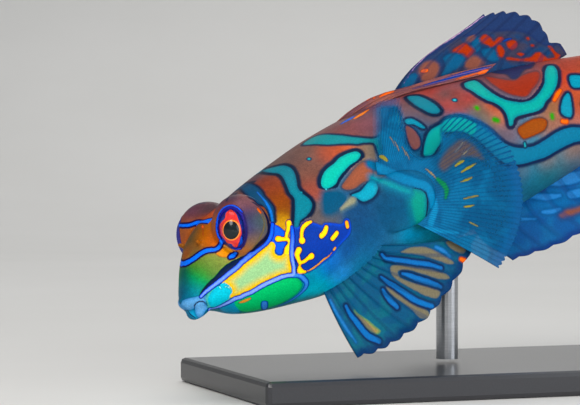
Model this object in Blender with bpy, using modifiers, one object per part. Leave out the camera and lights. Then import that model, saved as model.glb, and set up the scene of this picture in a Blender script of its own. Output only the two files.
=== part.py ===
"""Mandarinfish at life size, held nose down on a plain display stand, its head turned a little left."""

import math

import bmesh
import bpy
import numpy as np
from mathutils import Vector

# Sizes are in millimetres in the fish's own straight frame: X from the snout to the tail, Y to its right and
# Z up, with the origin at the tip of the mouth. pose() bends that frame and sets it on the stand.
MM = 0.001
GAP = 0.3

BODY_LENGTH = 51.0
HEAD_END = 14.6
TRUNK_END = 38.0

# Stations along the body: distance from the snout, top, bottom, half width and height of the widest level.
STATIONS = (
    (0.35, 0.30, -0.60, 0.50, -0.15),
    (0.8, 1.20, -1.05, 1.20, 0.00),
    (1.8, 3.15, -1.20, 1.90, 0.20),
    (3.0, 4.45, -1.65, 2.65, 0.50),
    (4.5, 5.30, -2.45, 3.45, 0.70),
    (6.5, 5.90, -3.00, 4.30, 0.90),
    (9.0, 6.65, -3.40, 5.15, 1.10),
    (12.0, 7.40, -3.75, 5.75, 1.40),
    (16.0, 8.35, -3.80, 5.80, 2.00),
    (20.0, 9.00, -3.65, 5.50, 2.60),
    (25.0, 9.35, -3.15, 4.95, 3.10),
    (30.0, 9.25, -2.30, 4.25, 3.60),
    (36.0, 9.05, -0.60, 3.30, 4.30),
    (43.0, 8.60, 1.70, 2.30, 5.00),
    (50.0, 8.20, 2.90, 1.50, 5.50),
    (51.0, 8.00, 3.10, 1.20, 5.50),
)
TOP_ROUNDNESS = 2.0
BOTTOM_ROUNDNESS = 2.3

# Bend of the spine: distance from the snout, turn to the left and climb towards the tail, in degrees. The
# bank lifts the left side.
SPINE_TURN = ((0.0, 14.0), (9.0, 14.0), (19.0, 2.0), (30.0, -6.0), (42.0, -3.0), (64.0, 14.0))
SPINE_CLIMB = ((0.0, 18.0), (14.0, 18.0), (28.0, 15.0), (42.0, 12.0), (64.0, 9.0))
BANK = 8.0
SPINE_ORIGIN = 22.0
SPINE_PLACE = (-4.0, 0.0, 14.2)
SPINE_REACH = 70.0
SPINE_STEP = 0.25

EYE_CENTRE = (6.05, 2.60, 3.88)
EYE_DOME_HALF = (2.30, 2.62, 2.50)
EYE_UPRIGHT = (0.20, 0.0, 1.0)
EYE_AIM = {-1: (-0.74, -0.65, 0.15), 1: (-0.52, 0.84, 0.12)}
IRIS_HALF = (1.20, 1.72)
EYE_PROUD = 0.20
EYE_DEPTH = 1.5

# Lips: the front of each lip's bow in X and Z, its radius and half its width. Both bows end at the mouth's
# corners.
MOUTH_DEPTH = 1.3
MOUTH_CORNER_HEIGHT = -0.45
UPPER_LIP = (0.66, -0.08, 0.54, 1.50)
LOWER_LIP = (1.00, -1.08, 0.54, 1.15)

NOSTRIL = (2.75, 1.30, 3.95)
NOSTRIL_RADIUS = 0.17
GILL_PORE = (13.0, 3.9, 6.3)
GILL_PORE_RADIUS = 0.42

# Where the rings of the body's loft lie, closer together round the mouth and the eyes.
HEAD_RINGS = (*np.linspace(0.35, 6.5, 11), *np.linspace(7.4, HEAD_END, 7))
RING_POINTS = 36

STAND_LENGTH = 40.0
STAND_WIDTH = 22.0
STAND_THICKNESS = 2.0
STAND_EDGE = 0.4
ROD_RADIUS = 0.9
ROD_STATION = 24.5
ROD_SINK = 1.5


def smooth_values(points, x):
    """Values at x of a smooth curve through the points, with no overshoot between them."""
    xs = np.array([p[0] for p in points], float)
    ys = np.array([p[1] for p in points], float)
    x = np.clip(np.asarray(x, float), xs[0], xs[-1])
    steps = np.diff(xs)
    slopes = np.diff(ys) / steps
    tangents = np.zeros(len(xs))
    same = slopes[:-1] * slopes[1:] > 0
    harmonic = 2 * slopes[:-1] * slopes[1:] / np.where(same, slopes[:-1] + slopes[1:], 1)
    tangents[1:-1] = np.where(same, harmonic, 0)
    tangents[0], tangents[-1] = slopes[0], slopes[-1]
    i = np.clip(np.searchsorted(xs, x, side="right") - 1, 0, len(steps) - 1)
    h = steps[i]
    t = (x - xs[i]) / h
    return (
        (1 + 2 * t) * (1 - t) ** 2 * ys[i]
        + t * (1 - t) ** 2 * h * tangents[i]
        + t * t * (3 - 2 * t) * ys[i + 1]
        + t * t * (t - 1) * h * tangents[i + 1]
    )


def station(column, x):
    return smooth_values([(s[0], s[column]) for s in STATIONS], x)


def spine_path():
    """Distance along the spine, with the place, turn and climb there."""
    x = np.arange(-4.0, SPINE_REACH, SPINE_STEP)
    turn = np.radians(smooth_values(SPINE_TURN, x))
    climb = np.radians(smooth_values(SPINE_CLIMB, x))
    tangent = np.stack([np.cos(climb) * np.cos(turn), np.cos(climb) * np.sin(turn), np.sin(climb)], 1)
    place = np.cumsum(tangent, 0) * SPINE_STEP
    origin = [np.interp(SPINE_ORIGIN, x, place[:, k]) for k in range(3)]
    return x, place - origin + SPINE_PLACE, turn, climb


SPINE = spine_path()


def pose(points):
    """Moves points from the straight frame, in millimetres, to their place on the stand, in metres."""
    points = np.asarray(points, float).reshape(-1, 3)
    x, place, turn, climb = SPINE
    at = np.stack([np.interp(points[:, 0], x, place[:, k]) for k in range(3)], 1)
    a = np.interp(points[:, 0], x, turn)
    c = np.interp(points[:, 0], x, climb)
    side = np.stack([-np.sin(a), np.cos(a), np.zeros_like(a)], 1)
    up = np.stack([-np.sin(c) * np.cos(a), -np.sin(c) * np.sin(a), np.cos(c)], 1)
    b = math.radians(BANK)
    side, up = side * math.cos(b) - up * math.sin(b), up * math.cos(b) + side * math.sin(b)
    return (at + points[:, 1:2] * side + points[:, 2:3] * up) * MM


def section(x, angle, grow=0.0):
    """Point of the body's surface at x, with the angle measured from the back round the fish's right side."""
    top, bottom, half, level = (station(k, x) for k in (1, 2, 3, 4))
    c, s = np.cos(angle), np.sin(angle)
    power = 2 / np.where(c > 0, TOP_ROUNDNESS, BOTTOM_ROUNDNESS)
    reach = np.where(c > 0, top - level, level - bottom) + grow
    y = (half + grow) * np.sign(s) * np.abs(s) ** power
    z = level + reach * np.sign(c) * np.abs(c) ** power
    return np.stack(np.broadcast_arrays(x, y, z), -1)


def back(x):
    return float(station(1, x))


def belly(x):
    return float(station(2, x))


def flank_point(point, side):
    """A point given for the fish's right, on its right or, for side -1, its left."""
    return np.array((point[0], side * point[1], point[2]))


def mesh_object(name, vertices, faces, collection):
    mesh = bpy.data.meshes.new(name)
    mesh.from_pydata([tuple(v) for v in vertices], [], faces)
    mesh.validate()
    made = bpy.data.objects.new(name, mesh)
    collection.objects.link(made)
    return made


def loft(name, xs, collection, grow=0.0):
    """A closed body through the sections at xs."""
    around = RING_POINTS
    angles = np.arange(around) * 2 * math.pi / around
    rings = [section(np.full(around, x), angles, grow) for x in xs]
    faces = [tuple(reversed(range(around)))]
    for i in range(len(xs) - 1):
        low, high = i * around, (i + 1) * around
        for k in range(around):
            after = (k + 1) % around
            faces.append((low + k, low + after, high + after, high + k))
    faces.append(tuple((len(xs) - 1) * around + k for k in range(around)))
    made = mesh_object(name, pose(np.concatenate(rings)), faces, collection)
    point_outward(made)
    return made


def point_outward(made):
    shape = bmesh.new()
    shape.from_mesh(made.data)
    bmesh.ops.recalc_face_normals(shape, faces=shape.faces)
    shape.to_mesh(made.data)
    shape.free()


def tube(name, path, radii, collection, sides=2):
    """A round tube with filled caps along a path in the straight frame, as a mesh."""
    curve = bpy.data.curves.new(name, "CURVE")
    curve.dimensions = "3D"
    curve.bevel_depth = MM
    curve.bevel_resolution = sides
    curve.use_fill_caps = True
    spline = curve.splines.new("POLY")
    spline.points.add(len(path) - 1)
    for point, place, radius in zip(spline.points, pose(path), radii):
        point.co = (*place, 1)
        point.radius = radius
    guide = bpy.data.objects.new(name + "_path", curve)
    collection.objects.link(guide)
    bpy.context.view_layer.update()
    graph = bpy.context.evaluated_depsgraph_get()
    mesh = bpy.data.meshes.new_from_object(guide.evaluated_get(graph))
    shape = bmesh.new()
    shape.from_mesh(mesh)
    bmesh.ops.remove_doubles(shape, verts=shape.verts, dist=1e-6)
    bmesh.ops.recalc_face_normals(shape, faces=shape.faces)
    shape.to_mesh(mesh)
    shape.free()
    bpy.data.objects.remove(guide)
    made = bpy.data.objects.new(name, mesh)
    collection.objects.link(made)
    return made


def ball(name, centre, axes, halves, collection, segments=20, rings=12):
    """An ellipsoid about a point of the straight frame, its third half size along the third axis."""
    shape = bmesh.new()
    bmesh.ops.create_uvsphere(shape, u_segments=segments, v_segments=rings, radius=1.0)
    local = np.array([v.co for v in shape.verts]) * halves
    for vertex, place in zip(shape.verts, pose(np.asarray(centre) + local @ np.asarray(axes))):
        vertex.co = place
    bmesh.ops.recalc_face_normals(shape, faces=shape.faces)
    mesh = bpy.data.meshes.new(name)
    shape.to_mesh(mesh)
    shape.free()
    made = bpy.data.objects.new(name, mesh)
    collection.objects.link(made)
    return made


def apply_modifiers(made):
    bpy.context.view_layer.update()
    graph = bpy.context.evaluated_depsgraph_get()
    mesh = bpy.data.meshes.new_from_object(made.evaluated_get(graph))
    made.modifiers.clear()
    made.data = mesh


def keep_largest_shell(made):
    """Drops every loose scrap and sealed hollow, so that one closed surface is left."""
    shape = bmesh.new()
    shape.from_mesh(made.data)
    left, shells = set(shape.verts), []
    while left:
        shell, front = set(), [left.pop()]
        while front:
            vertex = front.pop()
            shell.add(vertex)
            near = {e.other_vert(vertex) for e in vertex.link_edges} & left
            left -= near
            front.extend(near)
        shells.append(shell)
    largest = max(shells, key=lambda s: (Vector(np.ptp([v.co for v in s], axis=0))).length)
    bmesh.ops.delete(shape, geom=[v for s in shells if s is not largest for v in s], context="VERTS")
    shape.to_mesh(made.data)
    shape.free()


def join_and_cut(made, pieces=(), cutters=(), solver="EXACT"):
    """Joins pieces to an object by one Boolean union, removes them, and then cuts the cutters away."""
    if pieces:
        group = bpy.data.collections.new(made.name + "_pieces")
        bpy.context.scene.collection.children.link(group)
        for piece in pieces:
            for old in list(piece.users_collection):
                old.objects.unlink(piece)
            group.objects.link(piece)
        union = made.modifiers.new("join", "BOOLEAN")
        union.operation = "UNION"
        union.operand_type = "COLLECTION"
        union.collection = group
        union.solver = solver
        apply_modifiers(made)
        for piece in pieces:
            bpy.data.objects.remove(piece)
        bpy.data.collections.remove(group)
    for cutter in cutters:
        cut = made.modifiers.new("cut", "BOOLEAN")
        cut.operation = "DIFFERENCE"
        cut.object = cutter
        cut.solver = solver
        apply_modifiers(made)
    keep_largest_shell(made)


def finish(made, colour, roughness, metallic=0.0, smooth_below=35.0):
    material = bpy.data.materials.new(made.name)
    material.use_nodes = True
    shader = material.node_tree.nodes["Principled BSDF"]
    shader.inputs["Base Color"].default_value = (*colour, 1)
    shader.inputs["Roughness"].default_value = roughness
    shader.inputs["Metallic"].default_value = metallic
    made.data.materials.clear()
    made.data.materials.append(material)
    made.data.shade_smooth()
    made.data.set_sharp_from_angle(angle=math.radians(smooth_below))


def eye_axes(side):
    """Axes of an eye: along the head, up and outwards. Side is -1 on the fish's left and 1 on its right."""
    out = Vector(EYE_AIM[side]).normalized()
    along = Vector(EYE_UPRIGHT).cross(out).normalized()
    return along, out.cross(along), out


def dome_axes(side):
    """Axes of the dome round an eye, alike on both sides whichever way the eyes look."""
    out = Vector((EYE_AIM[-1][0], side * abs(EYE_AIM[-1][1]), EYE_AIM[-1][2])).normalized()
    along = Vector((0, 0, 1)).cross(out).normalized()
    return along, out.cross(along), out


def eye_centre(side):
    return flank_point(EYE_CENTRE, side)


def lip_path(lip, points=13):
    """The centre line of a lip, a bow from one corner of the mouth to the other, with its radii."""
    x, z, radius, half_width = lip
    across = np.linspace(-1, 1, points)
    path = np.stack([x + MOUTH_DEPTH * across**2, half_width * across, np.full(points, z)], 1)
    path[:, 2] += (MOUTH_CORNER_HEIGHT - z) * 0.7 * across**2
    return path, radius * (1 - 0.6 * across**4)


def build_head(fish, helpers):
    head = loft("head", HEAD_RINGS, fish)
    pieces = []
    for side in (-1, 1):
        pieces.append(ball(f"dome_{side}", eye_centre(side), dome_axes(side), EYE_DOME_HALF, helpers, 24, 16))
        tip = flank_point(NOSTRIL, side)
        out = np.array((-0.55, side * 0.35, 0.5))
        path = [tip - out * 0.9, tip, tip + out * 0.3]
        radii = [NOSTRIL_RADIUS * share for share in (1.4, 1.2, 1.0)]
        pieces.append(tube(f"nostril_{side}", path, radii, helpers))
    for name, lip in (("upper_lip", UPPER_LIP), ("lower_lip", LOWER_LIP)):
        path, radii = lip_path(lip)
        pieces.append(tube(name, path, radii, helpers))
    cutters = []
    for side in (-1, 1):
        along, up, out = eye_axes(side)
        centre = eye_centre(side) + np.array(out) * (EYE_DOME_HALF[2] - EYE_DEPTH)
        halves = (IRIS_HALF[0] + GAP, IRIS_HALF[1] + GAP, EYE_DEPTH + EYE_PROUD + GAP)
        cutters.append(ball(f"socket_{side}", centre, (along, up, out), halves, helpers, 20, 12))
        pore = flank_point(GILL_PORE, side)
        path = [pore + (-0.6, -side * 0.5, -0.4), pore + (0.7, side * 1.6, 1.2)]
        cutters.append(tube(f"pore_{side}", path, [GILL_PORE_RADIUS] * 2, helpers))
    join_and_cut(head, pieces, cutters)
    for cutter in cutters:
        bpy.data.objects.remove(cutter)
    finish(head, (0.16, 0.30, 0.34), 0.35)
    return head


def build_eye(side, fish):
    """The eye as it shows in its dome: an upright oval, a little proud of the skin round it."""
    along, up, out = eye_axes(side)
    centre = eye_centre(side) + np.array(out) * (EYE_DOME_HALF[2] - EYE_DEPTH)
    halves = (*IRIS_HALF, EYE_DEPTH + EYE_PROUD)
    name = "eye_left" if side < 0 else "eye_right"
    eye = ball(name, centre, (along, up, out), halves, fish, 20, 12)
    finish(eye, (0.70, 0.10, 0.05), 0.08)
    return eye


def pectoral_pad(name, side, collection, grow=0.0):
    """The fleshy base of a pectoral fin, flat against the flank, with the rays at its rear edge."""
    along, up, out = pectoral_axes(side)
    centre = flank_point(PECTORAL_CENTRE, side) + np.array(along) * PAD_SHIFT
    return ball(name, centre, (along, up, out), np.array(PAD_HALF) + grow, collection, 24, 14)


def build_body(fish, helpers):
    trunk = loft("trunk", np.linspace(HEAD_END + GAP, TRUNK_END, 13), fish)
    join_and_cut(trunk, [pectoral_pad(f"pad_{side}", side, helpers) for side in (-1, 1)])
    tail = loft("tail_stalk", np.linspace(TRUNK_END + GAP, BODY_LENGTH, 8), fish)
    for made in (trunk, tail):
        finish(made, (0.55, 0.20, 0.08), 0.35)
    return trunk, tail


def body_cutter(helpers):
    """The whole body grown by the gap, which fits the root of a fin or rod to the skin."""
    trunk_rings = np.linspace(HEAD_END, TRUNK_END, 13)[1:]
    tail_rings = np.linspace(TRUNK_END, BODY_LENGTH + GAP, 8)[1:]
    cutter = loft("body_cutter", (*HEAD_RINGS, *trunk_rings, *tail_rings), helpers, GAP)
    join_and_cut(cutter, [pectoral_pad(f"pad_{side}", side, helpers, GAP) for side in (-1, 1)])
    return cutter


def fin(name, columns, weights, thickness, collection):
    """A fin: an open net made solid, whose columns are rays and webs in turn, with the rays as ridges."""
    count, steps = columns.shape[:2]
    triangles = []
    for i in range(count - 1):
        for k in range(steps - 1):
            a, b = i * steps + k, (i + 1) * steps + k
            triangles += [(a, b, b + 1), (a, b + 1, a + 1)]
    made = mesh_object(name, pose(columns), triangles, collection)
    group = made.vertex_groups.new(name="thickness")
    for index, weight in enumerate(weights.ravel()):
        group.add([index], float(weight), "REPLACE")
    solid = made.modifiers.new("solid", "SOLIDIFY")
    solid.thickness = thickness * MM
    solid.offset = 0
    solid.vertex_group = "thickness"
    solid.thickness_vertex_group = WEB_THICKNESS / thickness
    solid.use_rim = True
    apply_modifiers(made)
    point_outward(made)
    return made


def ray_net(count, steps, ray, web_recess=0.06):
    """Rays at the even columns, webs at the odd ones. ray(t, s) is the ray at share t, at shares s of it."""
    s = np.linspace(0, 1, steps)
    t = np.linspace(0, 1, 2 * count - 1)
    columns = np.array([ray(v, s * (1 - web_recess * (k % 2))) for k, v in enumerate(t)])
    taper = 1 - 0.75 * s**1.5
    weights = np.array([taper if k % 2 == 0 else np.zeros(steps) for k in range(len(t))])
    return columns, weights


# Fins along the midline: the ends of each root, the tips as the share along the fin with X and Z, and how
# deep the roots sink into the body. The webs of every fin are equally thin.
SECOND_DORSAL_ROOT = (23.2, 38.0)
SECOND_DORSAL_TIPS = ((0.0, 33.3, 14.15), (0.25, 34.9, 14.0), (0.55, 37.1, 12.9), (0.7, 37.8, 11.6),
                      (0.82, 37.95, 10.55), (0.92, 38.8, 10.15), (1.0, 39.0, 9.2))
ANAL_ROOT = (27.0, 38.5)
ANAL_TIPS = ((0.0, 29.4, -6.2), (0.3, 32.6, -6.1), (0.6, 36.4, -5.4), (1.0, 42.0, -2.6))
FIN_SINK = 0.6
WEB_THICKNESS = 0.5
# Makes s (1 - s)^2 reach 1 at its peak.
BOW_SCALE = 27 / 4


def fin_ray(root, tip, bow, s):
    """A ray from root to tip that bows aside by the vector bow at a third of its length."""
    root, tip, bow = np.array(root), np.array(tip), np.array(bow)
    s = s[:, None]
    aside = BOW_SCALE * s * (1 - s) ** 2
    return root + (tip - root) * s + bow * aside


def root_and_tip(ends, tips, t):
    """Where along the body the ray at share t is rooted, and the X and Z of its tip."""
    tip_x, tip_z = (smooth_values([(tip[0], tip[k]) for tip in tips], t) for k in (1, 2))
    return ends[0] + (ends[1] - ends[0]) * t, tip_x, tip_z


def second_dorsal_ray(t, s):
    root_x, tip_x, tip_z = root_and_tip(SECOND_DORSAL_ROOT, SECOND_DORSAL_TIPS, t)
    root = (root_x, 0.1, back(root_x) - FIN_SINK)
    tip = (tip_x, 1.3 - 0.8 * t, tip_z)
    bow = (-0.5 + 0.3 * t, -0.3, 0.7 - 0.4 * t)
    return fin_ray(root, tip, bow, s)


def anal_ray(t, s):
    root_x, tip_x, tip_z = root_and_tip(ANAL_ROOT, ANAL_TIPS, t)
    wave = 0.25 * math.sin(t * 9)
    root = (root_x, 0, belly(root_x) + FIN_SINK)
    tip = (tip_x, wave - 0.4, tip_z)
    bow = (-0.2, wave, -0.5)
    return fin_ray(root, tip, bow, s)


CAUDAL_SPREAD = 19.0
CAUDAL_LENGTH = 13.4


def caudal_ray(t, s):
    spread = 2 * t - 1
    lean = math.radians(CAUDAL_SPREAD) * spread
    length = CAUDAL_LENGTH - 1.8 * spread**2
    x = BODY_LENGTH - 0.9 + length * s * np.cos(lean)
    z = 5.5 + 1.9 * spread + length * s * np.sin(lean * (1 + 0.15 * s))
    y = 0.35 * np.sin(spread * 4) * s
    return np.stack([x, y, z], -1)


# Pectoral fins: the centre of the fan, its first and last ray in degrees above the body's axis and how far
# the fan swings out from the flank, how long its longest ray is from that centre, the share of that length
# which the shortest ray has, where the rays start, and how far the tips bend in and droop. The fleshy pad
# fills the middle.
PECTORAL_CENTRE = (17.8, 5.3, 1.2)
PECTORAL_FANS = {-1: (79.0, -44.0, 12.0), 1: (48.0, -58.0, 22.0)}
PECTORAL_LENGTH = 12.0
PECTORAL_SHORTEST = 0.72
PECTORAL_INNER = 2.6
PECTORAL_CUP = 0.9
PECTORAL_DROOP = 0.5
PAD_HALF = (3.4, 2.35, 0.8)
PAD_SHIFT = 1.5


def pectoral_axes(side):
    flare = math.radians(PECTORAL_FANS[side][2])
    along = Vector((math.cos(flare), side * math.sin(flare), 0))
    up = Vector((-0.05, side * 0.10, 1)).normalized()
    along = (along - up * along.dot(up)).normalized()
    return along, up, along.cross(up)


def pectoral_ray(side):
    along, up, out = (np.array(v) for v in pectoral_axes(side))
    first, last, _ = PECTORAL_FANS[side]

    def ray(t, s):
        angle = math.radians(first + (last - first) * t)
        longer = math.sin(math.pi * (0.02 + 0.70 * t)) ** 2
        length = PECTORAL_LENGTH * (PECTORAL_SHORTEST + (1 - PECTORAL_SHORTEST) * longer)
        reach = (PECTORAL_INNER + (length - PECTORAL_INNER) * s)[:, None]
        points = flank_point(PECTORAL_CENTRE, side) + reach * (along * math.cos(angle) + up * math.sin(angle))
        points[:, 1] += side * PECTORAL_CUP * s**1.6 * (0.25 + abs(math.sin(angle)))
        points[:, 2] -= PECTORAL_DROOP * s**2
        return points

    return ray


# Pelvic fins: the two ends of the root, how far each side's root is lifted into the body, and for each side
# the angle, length and outward share of the first and last ray.
PELVIC_FRONT = (11.3, 2.3, -3.2)
PELVIC_REAR = (15.9, 4.7, -1.5)
PELVIC_LIFT = {-1: 0.4, 1: 0.9}
PELVIC_FANS = {-1: ((-101.0, 6.1, 0.42), (-26.0, 9.8, 0.06)), 1: ((-36.0, 6.4, 0.24), (-18.0, 9.2, 0.02))}


def pelvic_ray(side):
    first, last = (np.array(v) for v in PELVIC_FANS[side])

    def ray(t, s):
        angle, length, outward = first + (last - first) * t
        root = np.array(PELVIC_FRONT) + (np.array(PELVIC_REAR) - PELVIC_FRONT) * t
        angle = np.radians(angle + 10 * s)
        x = root[0] + length * s * np.cos(angle)
        z = root[2] + PELVIC_LIFT[side] + length * s * np.sin(angle)
        y = side * (root[1] + outward * length * s * (1 - 0.3 * s) + 0.15 * math.sin(t * 16) * s)
        return np.stack([x, y, z], -1)

    return ray


# First dorsal fin, folded down along the near side of the back: for each spine its root and how far back it
# reaches, how far aside the fold lies, how high the front spine arches, and half the height of the bundle.
FOLDED_SPINES = ((18.4, 32.4), (19.6, 32.0), (20.9, 31.6), (22.2, 31.2))
FOLD_ASIDE = 1.15
FOLD_ARCH = 0.6
FOLD_HALF = 0.28


def rise(x, start, end):
    """A share that grows evenly from 0 at start to 1 at end."""
    return np.clip((x - start) / (end - start), 0, 1)


def first_dorsal_net(steps=12):
    """The folded spines at the even columns and the webs between them at the odd ones."""
    s = np.linspace(0, 1, steps)
    spines = np.array(FOLDED_SPINES)
    columns, weights = [], []
    for k in range(2 * len(spines) - 1):
        root, end = (np.interp(k / 2, range(len(spines)), spines[:, j]) for j in (0, 1))
        x = root + (end - root) * s
        turned = rise(x, 20, 25)
        turned = turned * turned * (3 - 2 * turned)
        share = k / (2 * len(spines) - 2)
        arch = FOLD_ARCH * (1 - share) * rise(s, 0, 0.25) * (1 - 0.75 * rise(x, 20, 27))
        fanned = FOLD_HALF * (1 - 2 * share) * rise(x, 22, 26)
        y = -FOLD_ASIDE * turned - 0.1
        z = station(1, x) + 0.05 - 0.14 * turned + 0.30 * rise(s, 0, 1 / 3) + arch + fanned
        columns.append(np.stack([x, y, z], -1))
        weights.append((1 - 0.6 * s) if k % 2 == 0 else np.full(steps, 0.15))
    return np.array(columns), np.array(weights)


def build_fins(fish, helpers):
    cutter = body_cutter(helpers)
    made = []
    nets = [
        ("dorsal_fin_first", first_dorsal_net(), 0.62),
        ("dorsal_fin_second", ray_net(9, 9, second_dorsal_ray), 0.80),
        ("anal_fin", ray_net(8, 8, anal_ray), 0.80),
        ("caudal_fin", ray_net(10, 9, caudal_ray), 0.85),
    ]
    for side, word in ((-1, "left"), (1, "right")):
        nets.append((f"pectoral_fin_{word}", ray_net(20, 8, pectoral_ray(side), 0.03), 0.75))
        nets.append((f"pelvic_fin_{word}", ray_net(11, 8, pelvic_ray(side), 0.05), 0.90))
    for name, (columns, weights), thickness in nets:
        made.append(fin(name, columns, weights, thickness, fish))
        join_and_cut(made[-1], cutters=[cutter])
    bpy.data.objects.remove(cutter)
    for one in made:
        finish(one, (0.06, 0.22, 0.45), 0.3, smooth_below=60)
    return made


def build_stand(fish, helpers):
    bpy.ops.mesh.primitive_cube_add(size=1, location=(0, 0, STAND_THICKNESS * MM / 2))
    base = bpy.context.object
    base.name = "stand_base"
    base.scale = (STAND_LENGTH * MM, STAND_WIDTH * MM, STAND_THICKNESS * MM)
    bpy.ops.object.transform_apply(location=False, rotation=False, scale=True)
    edge = base.modifiers.new("edge", "BEVEL")
    edge.width = STAND_EDGE * MM
    edge.segments = 2
    finish(base, (0.05, 0.05, 0.06), 0.3)
    foot = pose([(ROD_STATION, 0.0, belly(ROD_STATION))])[0]
    bottom = (STAND_THICKNESS + GAP) * MM
    top = foot[2] + ROD_SINK * MM
    middle = (foot[0], foot[1], (top + bottom) / 2)
    height = top - bottom
    bpy.ops.mesh.primitive_cylinder_add(vertices=20, radius=ROD_RADIUS * MM, depth=height, location=middle)
    rod = bpy.context.object
    rod.name = "stand_rod"
    cutter = body_cutter(helpers)
    join_and_cut(rod, cutters=[cutter])
    bpy.data.objects.remove(cutter)
    finish(rod, (0.7, 0.7, 0.72), 0.25, 1.0)
    return base, rod


def main():
    for old in list(bpy.data.objects):
        bpy.data.objects.remove(old)
    fish = bpy.data.collections.new("mandarinfish")
    helpers = bpy.data.collections.new("cutters")
    bpy.context.scene.collection.children.link(fish)
    bpy.context.scene.collection.children.link(helpers)
    build_head(fish, helpers)
    for side in (-1, 1):
        build_eye(side, fish)
    build_body(fish, helpers)
    build_fins(fish, helpers)
    build_stand(fish, helpers)


main()
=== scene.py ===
"""Looks of the life-size mandarinfish model: one painted skin, glossy eyes, rayed fins and a plain stand."""

import math

import bpy
import numpy as np
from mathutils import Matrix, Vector
from mathutils.bvhtree import BVHTree


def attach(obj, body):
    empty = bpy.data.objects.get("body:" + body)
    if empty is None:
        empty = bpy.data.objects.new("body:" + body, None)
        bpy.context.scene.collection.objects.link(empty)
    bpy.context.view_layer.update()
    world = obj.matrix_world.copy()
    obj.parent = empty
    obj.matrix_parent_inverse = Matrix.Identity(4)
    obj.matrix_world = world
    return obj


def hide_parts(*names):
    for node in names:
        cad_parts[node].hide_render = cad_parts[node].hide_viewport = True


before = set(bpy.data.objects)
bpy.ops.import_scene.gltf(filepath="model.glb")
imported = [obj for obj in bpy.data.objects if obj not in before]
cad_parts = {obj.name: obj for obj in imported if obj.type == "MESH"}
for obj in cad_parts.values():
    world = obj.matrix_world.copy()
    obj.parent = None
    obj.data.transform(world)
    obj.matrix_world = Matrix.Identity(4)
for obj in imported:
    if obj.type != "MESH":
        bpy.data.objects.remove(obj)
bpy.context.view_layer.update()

# Sizes are in millimetres in the fish's own straight frame: X from the snout to the tail, Y to its right,
# Z up, with the origin at the tip of the mouth. pose() bends that frame and sets it on the stand.
MM = 0.001

BODY_LENGTH = 51.0

# Stations along the body: distance from the snout, top, bottom, half width and height of the widest level.
STATIONS = (
    (0.35, 0.30, -0.60, 0.50, -0.15),
    (0.8, 1.20, -1.05, 1.20, 0.00),
    (1.8, 3.15, -1.20, 1.90, 0.20),
    (3.0, 4.45, -1.65, 2.65, 0.50),
    (4.5, 5.30, -2.45, 3.45, 0.70),
    (6.5, 5.90, -3.00, 4.30, 0.90),
    (9.0, 6.65, -3.40, 5.15, 1.10),
    (12.0, 7.40, -3.75, 5.75, 1.40),
    (16.0, 8.35, -3.80, 5.80, 2.00),
    (20.0, 9.00, -3.65, 5.50, 2.60),
    (25.0, 9.35, -3.15, 4.95, 3.10),
    (30.0, 9.25, -2.30, 4.25, 3.60),
    (36.0, 9.05, -0.60, 3.30, 4.30),
    (43.0, 8.60, 1.70, 2.30, 5.00),
    (50.0, 8.20, 2.90, 1.50, 5.50),
    (51.0, 8.00, 3.10, 1.20, 5.50),
)
TOP_ROUNDNESS = 2.0
BOTTOM_ROUNDNESS = 2.3

# Bend of the spine: distance from the snout, turn to the left and climb towards the tail, in degrees.
# The bank lifts the left side.
SPINE_TURN = ((0.0, 14.0), (9.0, 14.0), (19.0, 2.0), (30.0, -6.0), (42.0, -3.0), (64.0, 14.0))
SPINE_CLIMB = ((0.0, 18.0), (14.0, 18.0), (28.0, 15.0), (42.0, 12.0), (64.0, 9.0))
BANK = 8.0
SPINE_ORIGIN = 22.0
SPINE_PLACE = (-4.0, 0.0, 14.2)
SPINE_START = -4.0
SPINE_REACH = 70.0
SPINE_STEP = 0.25

EYE_CENTRE = (6.05, 2.60, 3.88)
EYE_DOME_HALF = (2.30, 2.62, 2.50)
EYE_UPRIGHT = (0.20, 0.0, 1.0)
EYE_AIM = {-1: (-0.74, -0.65, 0.15), 1: (-0.52, 0.84, 0.12)}
IRIS_HALF = (1.24, 1.74)
EYE_PROUD = 0.20
EYE_DEPTH = 1.5
EYE_SLIDE = -0.14

# The skin round each eye: a soft lid, and a socket that the skin sinks into inside these shares of the iris.
LID_HEIGHT = 0.10
LID_WIDTH = 0.12
SOCKET_GAP = 0.25
SOCKET_SHARES = (0.80, 0.92)
SOCKET_FRONT = 0.8
SOCKET_REACH = 3.4

MOUTH_DEPTH = 1.3
MOUTH_CORNER_HEIGHT = -0.45
LIP_RISE = 0.7
LIP_TAPER = 0.6
UPPER_LIP = (0.66, -0.08, 0.54, 1.50)
LOWER_LIP = (1.00, -1.08, 0.54, 1.15)

NOSTRIL = (2.75, 1.30, 3.95)
NOSTRIL_WAY = (-0.55, 0.35, 0.5)
NOSTRIL_RADIUS = 0.17

# What makes up for the haze of the soft light on the painted colours.
COLOUR_PURITY = 1.03
COLOUR_LIGHTNESS = 0.92

SKIN_VOXEL = 0.10
SKIN_SMOOTHING = 5

# The photograph's frame in pixels, and the camera that fits it.
PHOTO_SIZE = (580, 405)
CAMERA_AZIMUTH = -20.0
CAMERA_ELEVATION = 1.5
CAMERA_DISTANCE = 0.190
CAMERA_TARGET = (-0.01418, 0.0, 0.01514)
CAMERA_LENS = 147.8
SENSOR_WIDTH = 36.0


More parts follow.
